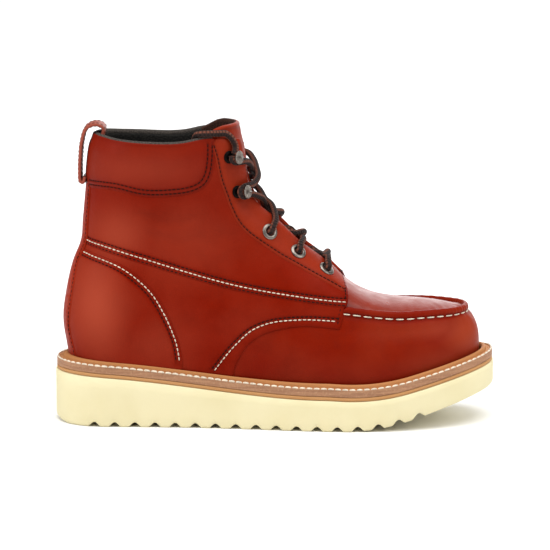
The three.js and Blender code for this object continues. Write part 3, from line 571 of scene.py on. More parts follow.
class Finish:
    """A procedural material built node by node on a Principled shader."""

    def __init__(self, name, **shader):
        self.material = bpy.data.materials.new(name)
        self.material.use_nodes = True
        self.nodes = self.material.node_tree.nodes
        self.nodes.clear()
        self.shader = self.node("ShaderNodeBsdfPrincipled", shader)
        self.node("ShaderNodeOutputMaterial", {"Surface": self.shader.outputs["BSDF"]})
        self.place = self.node("ShaderNodeTexCoord").outputs["Object"]
        self.normal = None

    def node(self, kind, inputs=None, **settings):
        made = self.nodes.new(kind)
        for key, value in settings.items():
            setattr(made, key, value)
        for key, value in (inputs or {}).items():
            self.put(made.inputs[key.replace("_", " ") if isinstance(key, str) else key], value)
        return made

    def put(self, socket, value):
        if isinstance(value, bpy.types.NodeSocket):
            self.material.node_tree.links.new(value, socket)
        else:
            socket.default_value = value

    def stretched(self, stretch):
        return self.node("ShaderNodeMapping", {"Vector": self.place, "Scale": stretch}).outputs["Vector"]

    def noise(self, scale, detail=2.0, stretch=(1, 1, 1)):
        inputs = {"Vector": self.stretched(stretch), "Scale": scale, "Detail": detail}
        return self.node("ShaderNodeTexNoise", inputs).outputs["Fac"]

    def cells(self, scale, stretch=(1, 1, 1), feature="F1"):
        inputs = {"Vector": self.stretched(stretch), "Scale": scale}
        return self.node("ShaderNodeTexVoronoi", inputs, feature=feature).outputs["Distance"]

    def level(self, value, low, high, first=0.0, last=1.0):
        inputs = {"Value": value, "From Min": low, "From Max": high, "To Min": first, "To Max": last}
        return self.node("ShaderNodeMapRange", inputs).outputs["Result"]

    def math(self, operation, a, b=0.0):
        return self.node("ShaderNodeMath", {0: a, 1: b}, operation=operation).outputs["Value"]

    def blend(self, factor, first, second):
        made = self.node("ShaderNodeMix", data_type="RGBA")
        self.put(made.inputs[0], factor)
        self.put(made.inputs[6], first)
        self.put(made.inputs[7], second)
        return made.outputs[2]

    def relief(self, height, depth, strength=1.0):
        """Adds a bump of a depth in millimetres."""
        inputs = {"Height": height, "Distance": depth * METRE, "Strength": strength}
        made = self.node("ShaderNodeBump", inputs)
        if self.normal is not None:
            self.put(made.inputs["Normal"], self.normal)
        self.normal = made.outputs["Normal"]
        self.put(self.shader.inputs["Normal"], self.normal)

    def set(self, **values):
        for key, value in values.items():
            self.put(self.shader.inputs[key.replace("_", " ")], value)

    def marks(self, name):
        return self.node("ShaderNodeAttribute", attribute_name=name).outputs["Fac"]


def leather(name, colour, pale, deep, grain=0.05, pores=0.03, gloss=0.42, shine=0.06, pebble=1100.0):
    """Oiled leather: a main colour clouded at random with a paler and a deeper one. The paler one is also
    painted highlight where tone is below 0, and the deeper one painted shade in folds and at edges where tone
    is above 0.
    """
    finish = Finish(name, IOR=1.45, Specular_IOR_Level=shine)
    cloudy = finish.level(finish.noise(26, 4), 0.35, 0.75, 0, 0.22)
    body = finish.blend(cloudy, paint(*colour), paint(*pale))
    shaded = finish.level(finish.noise(70, 5), 0.45, 0.85, 0, 0.3)
    body = finish.blend(shaded, body, paint(*deep))
    tone = finish.marks("tone")
    # Painted highlight where tone is below 0, painted shade where it is above 0.
    body = finish.blend(finish.level(tone, 0, -1), body, paint(*pale))
    finish.set(Base_Color=finish.blend(finish.level(tone, 0, 1), body, paint(*deep)))
    rough = finish.noise(140, 3)
    finish.set(Roughness=finish.level(rough, 0.3, 0.7, gloss - 0.06, gloss + 0.1))
    finish.relief(finish.cells(pebble, feature="SMOOTH_F1"), grain)
    finish.relief(finish.noise(420, 4), pores * 3)
    finish.relief(finish.noise(60, 3), 0.25)
    return finish.material


def thread(name, colour, roughness=0.7):
    finish = Finish(name, Roughness=roughness, Specular_IOR_Level=0.1)
    tint = finish.level(finish.noise(500, 2), 0.3, 0.7)
    finish.set(Base_Color=finish.blend(tint, paint(*colour), paint(*[c * 0.8 for c in colour])))
    finish.relief(finish.noise(2600, 2), 0.12)
    return finish.material


def textile(name, colour, other, scale=900.0):
    """A knitted or woven lining."""
    finish = Finish(name, Roughness=0.9, Specular_IOR_Level=0.15)
    knit = finish.cells(scale)
    finish.set(Base_Color=finish.blend(finish.level(knit, 0.1, 0.6), paint(*colour), paint(*other)))
    finish.relief(knit, 0.4)
    return finish.material


def rubber(name, colour, shade, grain):
    finish = Finish(name, Roughness=0.62, Specular_IOR_Level=0.3)
    cloud = finish.level(finish.noise(38, 4), 0.4, 0.75, 0, 0.5)
    finish.set(Base_Color=finish.blend(cloud, paint(*colour), paint(*shade)))
    finish.relief(finish.noise(700, 3), grain)
    finish.relief(finish.noise(90, 3), grain * 2)
    return finish.material


def layered_edge(name, colour, light, dark, top):
    """The cut edge of stacked board and leather, streaked along, and in another colour where tone is 1."""
    finish = Finish(name, Roughness=0.66, Specular_IOR_Level=0.3)
    streaks = finish.noise(210, 5, stretch=(0.22, 0.22, 3.2))
    body = finish.blend(finish.level(streaks, 0.38, 0.66), paint(*dark), paint(*colour))
    specks = finish.level(finish.noise(650, 4), 0.5, 0.75, 0, 0.5)
    body = finish.blend(specks, body, paint(*light))
    finish.set(Base_Color=finish.blend(finish.marks("tone"), body, paint(*top)))
    finish.relief(streaks, 0.25)
    finish.relief(finish.noise(900, 4), 0.15)
    return finish.material


def metal(name, colour, roughness):
    finish = Finish(name, Metallic=1.0)
    tint = finish.level(finish.noise(400, 3), 0.35, 0.7)
    finish.set(Base_Color=finish.blend(tint, paint(*colour), paint(*[c * 0.82 for c in colour])))
    finish.set(Roughness=finish.level(finish.noise(900, 2), 0.3, 0.7, roughness - 0.05, roughness + 0.1))
    finish.relief(finish.noise(1200, 2), 0.03)
    return finish.material


BRAID_PITCH, BRAID_LINES = 0.0022, 3


def braid(name, colour, dark, fleck):
    """A round braided lace with dashed lines along it. Its map holds metres along and the share round."""
    finish = Finish(name, Roughness=0.8, Specular_IOR_Level=0.25)
    split = finish.node("ShaderNodeSeparateXYZ", {"Vector": finish.node("ShaderNodeUVMap").outputs["UV"]})
    along = finish.math("MULTIPLY", split.outputs["X"], 2 * math.pi / BRAID_PITCH)
    around = finish.math("MULTIPLY", split.outputs["Y"], 2 * math.pi * BRAID_LINES)
    waves = [
        finish.math("SINE", finish.math(operation, along, around)) for operation in ("ADD", "SUBTRACT")
    ]
    plait = finish.math("MAXIMUM", *waves)
    body = finish.blend(finish.level(plait, -0.2, 0.95), paint(*dark), paint(*colour))
    line = finish.level(finish.math("COSINE", around), 0.05, 0.75)
    dashes = finish.level(finish.math("SINE", along), -0.6, 0.3, 0.4, 1)
    finish.set(Base_Color=finish.blend(finish.math("MULTIPLY", line, dashes), body, paint(*fleck)))
    finish.relief(plait, 0.35)
    return finish.material


QUARTER = leather("quarter_leather", (116, 17, 1), (154, 60, 40), (82, 9, 1), shine=0.03)
VAMP = leather("vamp_leather", (116, 18, 1), (150, 58, 34), (82, 9, 1), gloss=0.38, shine=0.05)
PLUG = leather("plug_leather", (126, 34, 14), (150, 62, 42), (88, 20, 6), gloss=0.33, shine=0.28)
CUFF = leather("cuff_leather", (116, 21, 4), (140, 48, 30), (82, 13, 2), gloss=0.46)
EYESTAY = leather("eyestay_leather", (136, 37, 14), (152, 56, 34), (88, 18, 6), gloss=0.42)
STAY = leather(
    "back_stay_leather", (132, 30, 8), (154, 56, 34), (88, 16, 5), grain=0.6, pores=0.1, shine=0.04,
    pebble=420,
)
STRAP = leather(
    "strap_leather", (146, 68, 50), (168, 92, 74), (104, 40, 26), grain=0.1, gloss=0.5, shine=0.3,
)
TONGUE = leather("tongue_leather", (130, 36, 12), (152, 56, 28), (88, 20, 8), grain=0.08, gloss=0.46)
LINING = textile("lining_knit", (40, 38, 34), (20, 19, 18))
TONGUE_LINING = textile("tongue_mesh", (88, 54, 42), (44, 27, 21), 1300)
RIM_KNIT = textile("rim_knit", (92, 84, 78), (58, 53, 49), 1300)
FOOTBED = textile("footbed_cloth", (46, 42, 38), (24, 22, 20), 1200)
RUBBER = rubber("wedge_rubber", (222, 212, 172), (212, 200, 154), 0.06)
ORANGE = rubber("midsole_rubber", (184, 134, 84), (172, 120, 70), 0.1)
WELT = layered_edge("welt_edge", (168, 124, 92), (186, 144, 110), (148, 106, 78), (170, 112, 62))
WHITE_THREAD = thread("white_thread", (232, 218, 196))
BLACK_THREAD = thread("black_thread", (30, 12, 9))
TAN_THREAD = thread("welt_thread", (236, 222, 200))
SILVER = metal("nickel", (136, 128, 120), 0.3)
BLACK_METAL = metal("black_nickel", (26, 22, 21), 0.4)
LACE = braid("lace_braid", (42, 25, 21), (26, 16, 14), (112, 62, 45))
AGLET = metal("aglet", (60, 44, 36), 0.4)


# Laces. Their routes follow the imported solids, a little later across the tongue.


def front_spot(z, out, side):
    x = front_face(z, out)
    return np.stack([x, swing_at(x, z) + side * out, z + 0 * x], axis=-1)


def front_seat(z, out, side, reach):
    """The plane that the form touches round about a point of its front: a point and a normal."""
    centre = front_spot(z, out, side)
    turn = np.arange(8) * np.pi / 4
    rim = front_spot(z + reach * np.sin(turn) * 0.8, out + reach * np.cos(turn), side) - centre
    normal = unit(np.cross(rim, np.roll(rim, -1, axis=0)).sum(axis=0))
    if normal[0] < 0:
        normal = -normal
    lift = max(0.0, float((rim @ normal).max()))
    return centre + normal * (lift + SEAT_LIFT), normal


def row_height(row):
    return HEEL_FEATHER + SHAFT_HEIGHT * LACE_ROWS[row]["up"]


def fitting(row, side):
    reach = EYELET_RADIUS if LACE_ROWS[row]["kind"] == "eyelet" else HOOK_BASE
    return front_seat(row_height(row), LACE_ROWS[row]["out"] * COLLAR_WIDTH, side, reach)


def throat_point(z, y, lift):
    point, normal = front_seat(z, abs(y), -1 if y < 0 else 1, 1)
    return point + normal * (lift - SEAT_LIFT)


# Strands between two pairs of fittings, one over and one under where they cross: share of the way and lift.
OVER_FLAP = [(0.15, 5.2), (0.35, 4.6), (0.63, 3.5), (0.76, 0.6)]
UNDER_FLAP = [(0.15, 5.2), (0.35, 4.3), (0.5, 1.2), (0.63, -0.9), (0.76, -0.9)]
FLAP_LAG, HOOK_LAG, DIVE_SHARE = 1.5, 1.4, 0.86
OVER_TO_HOOK = [
    (0.08, 5.6), (0.2, 4.6), (0.34, 3.0), (0.5, 3.2), (0.64, 1.8), (0.78, 3.6), (0.86, 4.8), (0.94, 5.4),
]
UNDER_TO_HOOK = [
    (0.08, 5.8), (0.2, 4.6), (0.36, 0.4), (0.5, -1.1), (0.59, 0.1), (0.7, 3.9), (0.8, 5.0), (0.9, 5.4),
]
OVER_HOOKS = [(0.16, 5.4), (0.32, 4.8), (0.5, 3.2), (0.68, 3.8), (0.84, 5)]
UNDER_HOOKS = [(0.16, 5), (0.32, 2.8), (0.5, -0.9), (0.68, 1.6), (0.84, 4.4)]
# Where a strand dives under the far facing: rise, reach past the facing's edge, and lift.
FLAP_CLEARANCE = 0.4
DIVE_SPOTS = [(0, 0, -0.9), (1.5, 5.5, -3.4)]
EYELET_LIFTS = (-1.2, 2, 4.2)
# Quarter turns of the lace round a hook's post, and how much the bend tightens it.
HOOK_TURNS, HOOK_SQUEEZE = (-0.9, -0.35, 0.25, 0.9), 0.5
LACE_SPACING = 0.8
AGLET_POINTS, AGLET_COVER = 14, 0.15


def strand(row, side, spots, lag=1.0):
    """Points from a fitting on one side towards the next one of the other side. A strand with a lag above 1
    rises first and crosses later."""
    low, high = fitting(row, side)[0][2], fitting(row + 1, -side)[0][2]
    near, far = LACE_ROWS[row]["out"], LACE_ROWS[row + 1]["out"]
    return [
        throat_point(mix(low, high, share), side * COLLAR_WIDTH * mix(near, -far, share**lag), lift)
        for share, lift in spots
    ]


def leave_eyelet(row, side):
    """Up out of an eyelet."""
    point, normal = fitting(row, side)
    return [point + normal * lift for lift in EYELET_LIFTS]


def crossing(row, side, spots):
    """Over the tongue and under the other facing, below the next pair."""
    z = mix(fitting(row, side)[0][2], fitting(row + 1, side)[0][2], DIVE_SHARE)
    edge = throat_half(z) - LACE_RADIUS - FLAP_CLEARANCE
    dive = [throat_point(z + rise, -side * (edge + reach), lift) for rise, reach, lift in DIVE_SPOTS]
    return [*leave_eyelet(row, side), *strand(row, side, spots, FLAP_LAG), *dive]


def hook_axis(normal):
    forward = unit(np.array([1, 0, 0]) - normal * normal[0])
    return normal + forward * HOOK_LEAN


def round_hook(row, side):
    """Round the post of a hook, from below to above."""
    point, normal = fitting(row, side)
    up = unit(np.array([0, 0, 1]) - normal * normal[2])
    outward = unit(np.cross(normal, up))
    if outward[1] * side < 0:
        outward = -outward
    centre = point + hook_axis(normal) * LACE_LIFT
    reach = HOOK_POST + LACE_RADIUS - HOOK_SQUEEZE
    turns = np.array(HOOK_TURNS) * np.pi / 2
    return [centre + reach * (up * math.sin(turn) + outward * math.cos(turn)) for turn in turns]


def top_lacing(side, low, high, lag):
    """From the last eyelets round the first hook of the other side and the second one of its own."""
    return [
        *leave_eyelet(2, side), *strand(2, side, low, lag), *round_hook(3, -side),
        *strand(3, -side, high), *round_hook(4, side)[:3],
    ]


# Free end of the lace over the collar: distance behind the form's front, rise over the rim and reach outward.
LACE_END_SPOTS = [
    (8, -5, 6.6), (10.5, 0, 4.8), (14.5, 2.9, 2), (20.5, 2.8, 0.5), (27, 2.9, 0.4), (31.5, 3.2, -0.6),
    (34.6, 2.2, -4.8), (36, -4, -8.2), (36.5, -14, -10.5), (36.5, -28, -11.5), (36.5, -46, -12),
]


def free_end():
    wrap = round_hook(4, -1)
    route = [mix(wrap[3], wrap[2], 0.5), wrap[3]]
    for back, rise, out in LACE_END_SPOTS:
        x = float(front_at(COLLAR_TOP)) - back
        z = float(collar_at(x)) + rise
        y = float(swing_at(x, z) - half_width(x, min(z, COLLAR_TOP))) - out
        route.append(np.array([x, y, z]))
    return route


def make_laces():
    for row in (0, 1):
        routes = [crossing(row, -1, UNDER_FLAP), crossing(row, 1, OVER_FLAP)]
        add_lace(f"lace_{row + 1}", routes)
    routes = [
        top_lacing(-1, OVER_TO_HOOK, UNDER_HOOKS, HOOK_LAG), top_lacing(1, UNDER_TO_HOOK, OVER_HOOKS, 1.0),
    ]
    add_lace("lace_3", routes)
    route = free_end()
    end = add_lace("lace_end", [route])
    path = spline(route, LACE_SPACING)
    points, faces, _ = tube(path[-AGLET_POINTS:], LACE_RADIUS + AGLET_COVER)
    aglet = add_mesh("aglet", points, faces, AGLET, "lace_cord")


def add_lace(name, routes):
    strands = [tube(spline(route, LACE_SPACING), LACE_RADIUS) for route in routes]
    points, faces = joined([(p, f) for p, f, _ in strands])
    uv = np.concatenate([m for _, _, m in strands])
    return add_mesh(f"{name}_cord", points, faces, LACE, "lace_cord", [name], uv=uv)


make_laces()


# Painted highlights, where the leather is painted paler, in side view: middle and reach as (x, z), and how
# much.
PAINTED_HIGHLIGHT_SPOTS = table(
    "spot reach pale",
    ((-122, 84), (20, 34), 1.0), ((-108, 133), (22, 20), 0.75), ((-92, 178), (40, 12), 0.7),
    ((-62, 128), (40, 22), 0.3), ((134, 62), (16, 16), 0.8), ((110, 68), (40, 7), 0.4),
    ((118, 42), (30, 14), 0.4), ((-80, 60), (26, 18), 0.3),
)


def painted_highlight_at(points):
    """How much painted highlight pales the leather at points of the form."""
    pale = np.zeros(len(points))
    for row in PAINTED_HIGHLIGHT_SPOTS:
        (x, z), (wide, tall) = row["spot"], row["reach"]
        far = ((points[:, 0] - x) / wide) ** 2 + ((points[:, 2] - z) / tall) ** 2
        pale = np.maximum(pale, row["pale"] * np.exp(-far))
    return pale


# Panels of leather on the form, and their stitching.

# How far the panels stand off the form, at the cut edge and inside it, and how far they puff up over a reach.
PANELS = {
    "quarter": dict(leather=QUARTER, low=-2.4, high=1.15, puff=0, reach=8),
    "eyestay": dict(leather=EYESTAY, low=-2.5, high=1.85, puff=0, reach=8),
    "lower_quarter": dict(leather=QUARTER, low=-0.4, high=0.7, puff=0, reach=8),
    "counter": dict(leather=QUARTER, low=-0.2, high=1.5, puff=0, reach=8),
    "cuff": dict(leather=CUFF, low=-0.3, high=1.7, puff=1.35, reach=10),
    "back_stay": dict(leather=STAY, low=-0.2, high=2.15, puff=0, reach=8),
}
PANEL_STEP, PANEL_ROW_STEP, ROLLED_EDGE = 2.2, 2.2 * 0.87, 1.0
# Points beside a seam: how far apart along it, how far off it, and how much room they and the rim keep clear.
SEAM_STEP, SEAM_GAPS, SEAM_CLEARANCE, RIM_CLEARANCE = 1.5, (-1.5, -0.7, 0, 0.7, 1.5), 2.3, 0.8
DIP_DEPTH, DIP_WIDTH = 0.5, 0.7
THREAD_DEPTH = 0.2


def crease_lift(points):
    """Wear creases and folds: a signed rise or fall along short lines of the chart, on both sides."""
    lift = np.zeros(len(points))
    mirrored = np.abs(points[:, 0])
    spots = np.stack([mirrored, points[:, 1]], axis=1)
    for line, depth, width in CREASE_LINES:
        lift -= depth * np.exp(-((distance_to(spots, line) / width) ** 2))
    return lift


# Creases in side view: ends and middle as (x, z), depth and half width in millimetres.
CREASES = table(
    "spots depth width",
    ([(-92, 147), (-74, 141), (-58, 143)], 0.9, 3.6),
    ([(-84, 133), (-66, 127), (-50, 130)], 0.7, 4.2),
    ([(-50, 150), (-40, 136), (-24, 126)], 0.5, 4.5),
    ([(-30, 78), (-10, 84), (12, 82)], -0.5, 8.0),
    ([(-58, 72), (-48, 86), (-30, 92)], 0.5, 6.0),
    ([(-112, 88), (-104, 74), (-104, 58)], -0.6, 9.0),
)
CREASE_LINES = [(seam(row["spots"], 3), row["depth"], row["width"]) for row in CREASES]


def filled(loop, rim, seams):
    """Points inside a rim, closer along the seams, their triangles, and the places of the rim's points."""
    (s0, z0), (s1, z1) = loop.min(axis=0), loop.max(axis=0)
    across, up = np.meshgrid(np.arange(s0, s1, PANEL_STEP), np.arange(z0, z1, PANEL_ROW_STEP))
    across[1::2] += PANEL_STEP / 2
    spots = np.stack([across.ravel(), up.ravel()], axis=1)
    for line in seams:
        spots = spots[distance_to(spots, line) > SEAM_CLEARANCE]
    beside = [shifted(resample(line, SEAM_STEP), gap) for line in seams for gap in SEAM_GAPS]
    spots = np.concatenate([spots, *beside])
    spots = spots[inside_loop(spots, rim)]
    spots = spots[distance_to(spots, rim, closed=True) > RIM_CLEARANCE]
    flat = [Vector(p) for p in np.concatenate([rim, spots]).tolist()]
    made = delaunay_2d_cdt(flat, [], [list(range(len(rim)))], 1, 1e-4)
    place = {old: new for new, olds in enumerate(made[3]) for old in olds}
    points = np.array([tuple(p) for p in made[0]])
    return points, [list(f) for f in made[2]], [place[k] for k in range(len(rim))]


def panel(kind, loop, seams, end=""):
    """A panel on the form. loop goes round it in the chart. The panel rises from low to high over a rolled
    edge and dips along its seams."""
    spec = PANELS[kind]
    low, high = spec["low"], spec["high"]
    loop = resample(np.concatenate([loop, loop[:1]]), 1.3)[:-1]
    for _ in range(3):
        loop = 0.5 * loop + 0.25 * (np.roll(loop, 1, axis=0) + np.roll(loop, -1, axis=0))
    ahead = np.roll(loop, -1, axis=0)
    if np.sum(loop[:, 0] * ahead[:, 1] - ahead[:, 0] * loop[:, 1]) < 0:
        loop = loop[::-1]
    along = unit(np.roll(loop, -1, axis=0) - np.roll(loop, 1, axis=0))
    inward = np.stack([-along[:, 1], along[:, 0]], axis=1)

    def shape(points):
        from_edge = distance_to(points, loop, closed=True)
        lift = high + spec["puff"] * smooth(from_edge / spec["reach"]) + crease_lift(points)
        # Painted shade: the leather darker along the cut edge and along the dips of the seams.
        tone = 0.55 * np.exp(-((from_edge / 1.1) ** 2))
        for line in seams:
            from_seam = distance_to(points, line)
            lift -= DIP_DEPTH * np.exp(-((from_seam / DIP_WIDTH) ** 2))
            tone = np.maximum(tone, 0.45 * np.exp(-((from_seam / 1.2) ** 2)))
        return lift, tone

    rim = loop + inward * ROLLED_EDGE
    flat, faces, rim_order = filled(loop, rim, seams)
    count = len(loop)
    rim_lift, rim_tone = shape(rim)
    lift, tone = shape(flat)
    rings = [
        (loop + inward * ROLLED_EDGE * 0.3, mix(low, rim_lift, 0.9)), (loop, mix(low, rim_lift, 0.62)),
        (loop, np.full(count, float(low))),
    ]
    points = np.concatenate([skin(*flat.T, lift)] + [skin(*ring.T, rise) for ring, rise in rings])
    orders = [rim_order]
    orders += [[len(flat) + r * count + k for k in range(count)] for r in range(len(rings))]
    for inner, outer in zip(orders, orders[1:]):
        for k in range(count):
            after = (k + 1) % count
            faces.append([inner[after], inner[k], outer[k], outer[after]])
    # Painted highlights are taken off the tone.
    tone = np.concatenate([tone] + [rim_tone] * len(rings)) - painted_highlight_at(points)
    faces = [face[::-1] for face in faces]
    add_mesh(kind + end, points, faces, spec["leather"], "upper_leather", tone=tone)


STITCH_RINGS = np.array([
    [-0.5, 0.3, -0.5], [-0.36, 0.85, -0.1], [0, 1, 0.1], [0.36, 0.85, -0.1], [0.5, 0.3, -0.5],
])
STITCH_SIDES = 6
# Length, gap and thickness of stitches.
LOOP_STITCH, WELT_STITCH = (2.2, 0.8, 0.65), (4.4, 0.5, 1.5)


def stitch_row(path, normals, length=2.3, gap=0.7, thick=0.75, start=0.5):
    """Capsules along a path: for each ring of one, its share along, its width and its height off the path."""
    run = distances(path)
    centres = np.arange(start * (length + gap), run[-1] - length / 2, length + gap)
    at = centres[:, None] + STITCH_RINGS[:, 0] * length
    middle, normal = table_at(at, run, path), unit(table_at(at, run, normals))
    tangent = unit(np.gradient(middle, axis=1))
    side = np.cross(tangent, normal)
    turn = np.arange(STITCH_SIDES) * 2 * np.pi / STITCH_SIDES
    radius = (STITCH_RINGS[:, 1] * thick / 2)[None, :, None, None]
    middle = middle + normal * (STITCH_RINGS[:, 2] * thick / 2)[None, :, None]
    ring = side[:, :, None] * np.cos(turn)[:, None] + normal[:, :, None] * np.sin(turn)[:, None]
    points = (middle[:, :, None] + ring * radius).reshape(-1, 3)
    one = np.array(grid_faces(len(STITCH_RINGS), STITCH_SIDES, closed=True))
    size = len(STITCH_RINGS) * STITCH_SIDES
    faces = (one[None] + np.arange(len(centres))[:, None, None] * size).reshape(-1, 4)
    return points, faces.tolist()


def sew(name, rows, material, **sizes):
    """Rows of stitches as one piece. Each row is a line of the chart and its lift off the form."""
    parts = []
    for line, lift in rows:
        line = resample(line, 0.8)
        lift = lift + crease_lift(line)
        points = skin(*line.T, lift)
        parts.append(stitch_row(points, skin(*line.T, lift + 1) - points, **sizes))
    add_mesh(name, *joined(parts), material, "upper_leather")


def both_sides(line):
    return [line, line * [-1, 1]]


# Seams and edges in side view, as (x, z).
CUFF_ROW = [
    (-126, 165.2), (-107.8, 165.3), (-88.8, 161.6), (-72.8, 161.6), (-56.8, 163.8), (-48.4, 168.2),
    (-44.5, 175.7), (-42.9, 187.6), (-42.9, 197),
]
EYESTAY_ROW = [
    (-42.0, 195.5), (-39.4, 186.9), (-36.1, 170.5), (-32.8, 160.8), (-29.7, 152.2), (-25.0, 142.9),
    (-18.4, 135.2), (-10.0, 128.4), (2.1, 119.9), (15.1, 112.3), (28.1, 104.9), (41.1, 97.4), (47.5, 93.4),
]
QUARTER_FRONT = [(49.8, 83), (50.2, 87.6), (48.8, 96.0), (46.6, 100)]
FRONT_ROW = [(45, 102.5), (46.4, 98.6), (47.6, 93.5), (47.8, 87.8)]
LOWER_FRONT_ROW = [(45, 83.2), (43.6, 77.6), (43, 70.6)]
BAND_ROW = [
    (-129, 126.6), (-126, 125.8), (-117.0, 124.0), (-94.0, 117.6), (-65.1, 108.8), (-36.3, 100.8),
    (-13.3, 95.9), (17.6, 90.7), (32.2, 88.7), (49.4, 86.4),
]
COUNTER_ROW = [
    (-131, 118.0), (-128.5, 117.5), (-117.0, 114.4), (-105.5, 110.0), (-94.0, 102.0), (-84.7, 93.0),
    (-77.8, 82.6), (-72.1, 71.1), (-68.0, 60.6), (-65.1, 44.1),
]
VAMP_ROW = [
    (-41.5, 39.5), (-34.1, 49.4), (-24.8, 60.1), (-14.5, 68.9), (-1.7, 73.7), (17.6, 75.5), (29.3, 75.4),
    (44.0, 74.3),
]
FOLDED_EDGE = [
    (-28.5, 38), (-26, 45), (-19.3, 56.7), (-10, 64.2), (-1.9, 67.4), (17.6, 71.0), (30, 70.6), (45.0, 68.8),
]
# Half width of the back stay by height.
STAY_HALF = [
    (36, 20.5), (46, 20.5), (64, 19), (82, 19), (98, 17), (113, 13), (130, 14), (150, 14.5), (168, 14.5),
]

# From a seam's main row to the row beside it, and to the cut edge of its panel.
SECOND_ROW = dict(band=2.1, counter=2.2, vamp=2.0, cuff=3.0)
CUT_EDGE = dict(band=3.8, counter=2.0, eyestay=1.9, cuff=2.0, back_stay=1.8)
# Where lines end below the collar's edge: seams and cut edges.
SEAM_DROP, EDGE_DROP = 1.5, 0.4

band_row, counter_row, vamp_row = seam(BAND_ROW), seam(COUNTER_ROW), seam(VAMP_ROW)
eyestay_row, cuff_row, folded_edge = seam(EYESTAY_ROW), seam(CUFF_ROW), seam(FOLDED_EDGE)
quarter_front = seam(QUARTER_FRONT)
front_row, lower_front_row = seam(FRONT_ROW), seam(LOWER_FRONT_ROW)
band_rows = [shifted(band_row, gap * SECOND_ROW["band"]) for gap in (-1, 0, 1)]
counter_rows = [counter_row, shifted(counter_row, -SECOND_ROW["counter"])]
vamp_rows = [vamp_row, shifted(vamp_row, SECOND_ROW["vamp"])]


def throat_line(low, high, spare=0.0):
    heights = np.linspace(low, high, 60)
    return np.array([[run_at_gap(z, throat_half(z) + spare), z] for z in heights])


def collar_line(start, end, drop=0.0):
    return np.array([[run_at(x, collar_at(x)), collar_at(x) - drop] for x in np.linspace(start, end, 40)])


def line_up_to_collar(line, drop):
    """Cuts a rising chart line off where it meets the collar."""
    x = np.array([float(skin(s, z)[0]) for s, z in line])
    return line[line[:, 1] < collar_at(x) - drop]


def foot_line(start, end, drop=2.5):
    """Along the feather line, hidden behind the welt."""
    xs = np.linspace(start, end, 40)
    return np.array([[run_at(x, feather(x) - drop), feather(x) - drop] for x in xs])


COLLAR_FRONT = float(front_face(collar_at(-22), throat_half(COLLAR_TOP)))
THROAT_START = THROAT_BASE + 6
# How far round the panels go under the back stay, and where the heights of their rear edges start.
UNDER_STAY, REAR_LOW = 5.0, 41.0
CUFF_REAR_LOW = 163.3
SHAFT_BACK = -124.0
# The knitted roll round the collar's edge, from the cuff's front seam to the back.
ROLL_ENDS, ROLL_DROP, ROLL_DEPTH, ROLL_RADIUS = (-42.0, -118.0), 1.5, 1.3, 2.3

cuff_rows = [line_up_to_collar(shifted(cuff_row, gap), SEAM_DROP) for gap in (0, SECOND_ROW["cuff"])]
stay_heights = np.linspace(39.5, 166, 80)
stay_edge = np.stack([np.interp(stay_heights, *np.array(STAY_HALF, float).T), stay_heights], axis=1)
stay_row = stay_edge - [CUT_EDGE["back_stay"], 0]


def back_line(low, high):
    return np.array([[UNDER_STAY, z] for z in np.linspace(low, high, 20)])


def quarter_panels(side):
    def side_panel(kind, loop, rows):
        end = "_outer" if side < 0 else "_inner"
        panel(kind, loop * [side, 1], [row * [side, 1] for row in rows], end)

    band_edge = shifted(band_row, -CUT_EDGE["band"])
    throat = throat_line(THROAT_START, collar_at(COLLAR_FRONT) - EDGE_DROP)
    under_cuff = seam([(-56, 176), (-90, 174), (-128, 174)])
    side_panel("quarter", np.concatenate([
        band_edge, quarter_front[2:], throat, collar_line(COLLAR_FRONT, -48, EDGE_DROP), under_cuff,
        back_line(band_edge[0][1], 174)[::-1],
    ]), band_rows)
    rear_edge = line_up_to_collar(shifted(eyestay_row, -CUT_EDGE["eyestay"])[::-1], EDGE_DROP)
    side_panel("eyestay", np.concatenate([
        rear_edge, collar_line(-41.5, COLLAR_FRONT, 0.3)[3:], throat[::-1],
    ]), [eyestay_row])
    side_panel("lower_quarter", np.concatenate([
        foot_line(-139, -28.5), folded_edge[2:], seam([(47, 78), (47.4, 84)]),
        shifted(band_row, 1)[::-1], back_line(REAR_LOW, 122)[::-1],
    ]), vamp_rows)
    counter_edge = shifted(counter_row, CUT_EDGE["counter"])
    side_panel("counter", np.concatenate([
        back_line(REAR_LOW, counter_edge[0][1]), counter_edge, foot_line(-139, -63.5)[::-1],
    ]), counter_rows)


def whole(half, *between):
    """A line of one side, what lies between, and its mirror image, as one line."""
    return np.concatenate([half, *between, (half * [-1, 1])[::-1]])


def make_quarters():
    for side in SIDES.values():
        quarter_panels(side)
    cuff_edge = line_up_to_collar(shifted(cuff_row, -CUT_EDGE["cuff"]), EDGE_DROP)
    cuff_half = np.concatenate([
        [[0, CUFF_REAR_LOW]], cuff_edge, collar_line(-41, -116, EDGE_DROP),
        [[0, collar_at(SHAFT_BACK) - EDGE_DROP]],
    ])
    panel("cuff", whole(cuff_half), [line for row in cuff_rows for line in both_sides(row)])
    panel("back_stay", whole(stay_edge), both_sides(stay_row))
    roll = whole(collar_line(*ROLL_ENDS, ROLL_DROP), [[0, collar_at(SHAFT_BACK) - ROLL_DROP]])
    points, faces, _ = tube(skin(*resample(roll, 1.0).T, -ROLL_DEPTH), ROLL_RADIUS, 16)
    add_mesh("collar_rim", points, faces, RIM_KNIT, "lining")


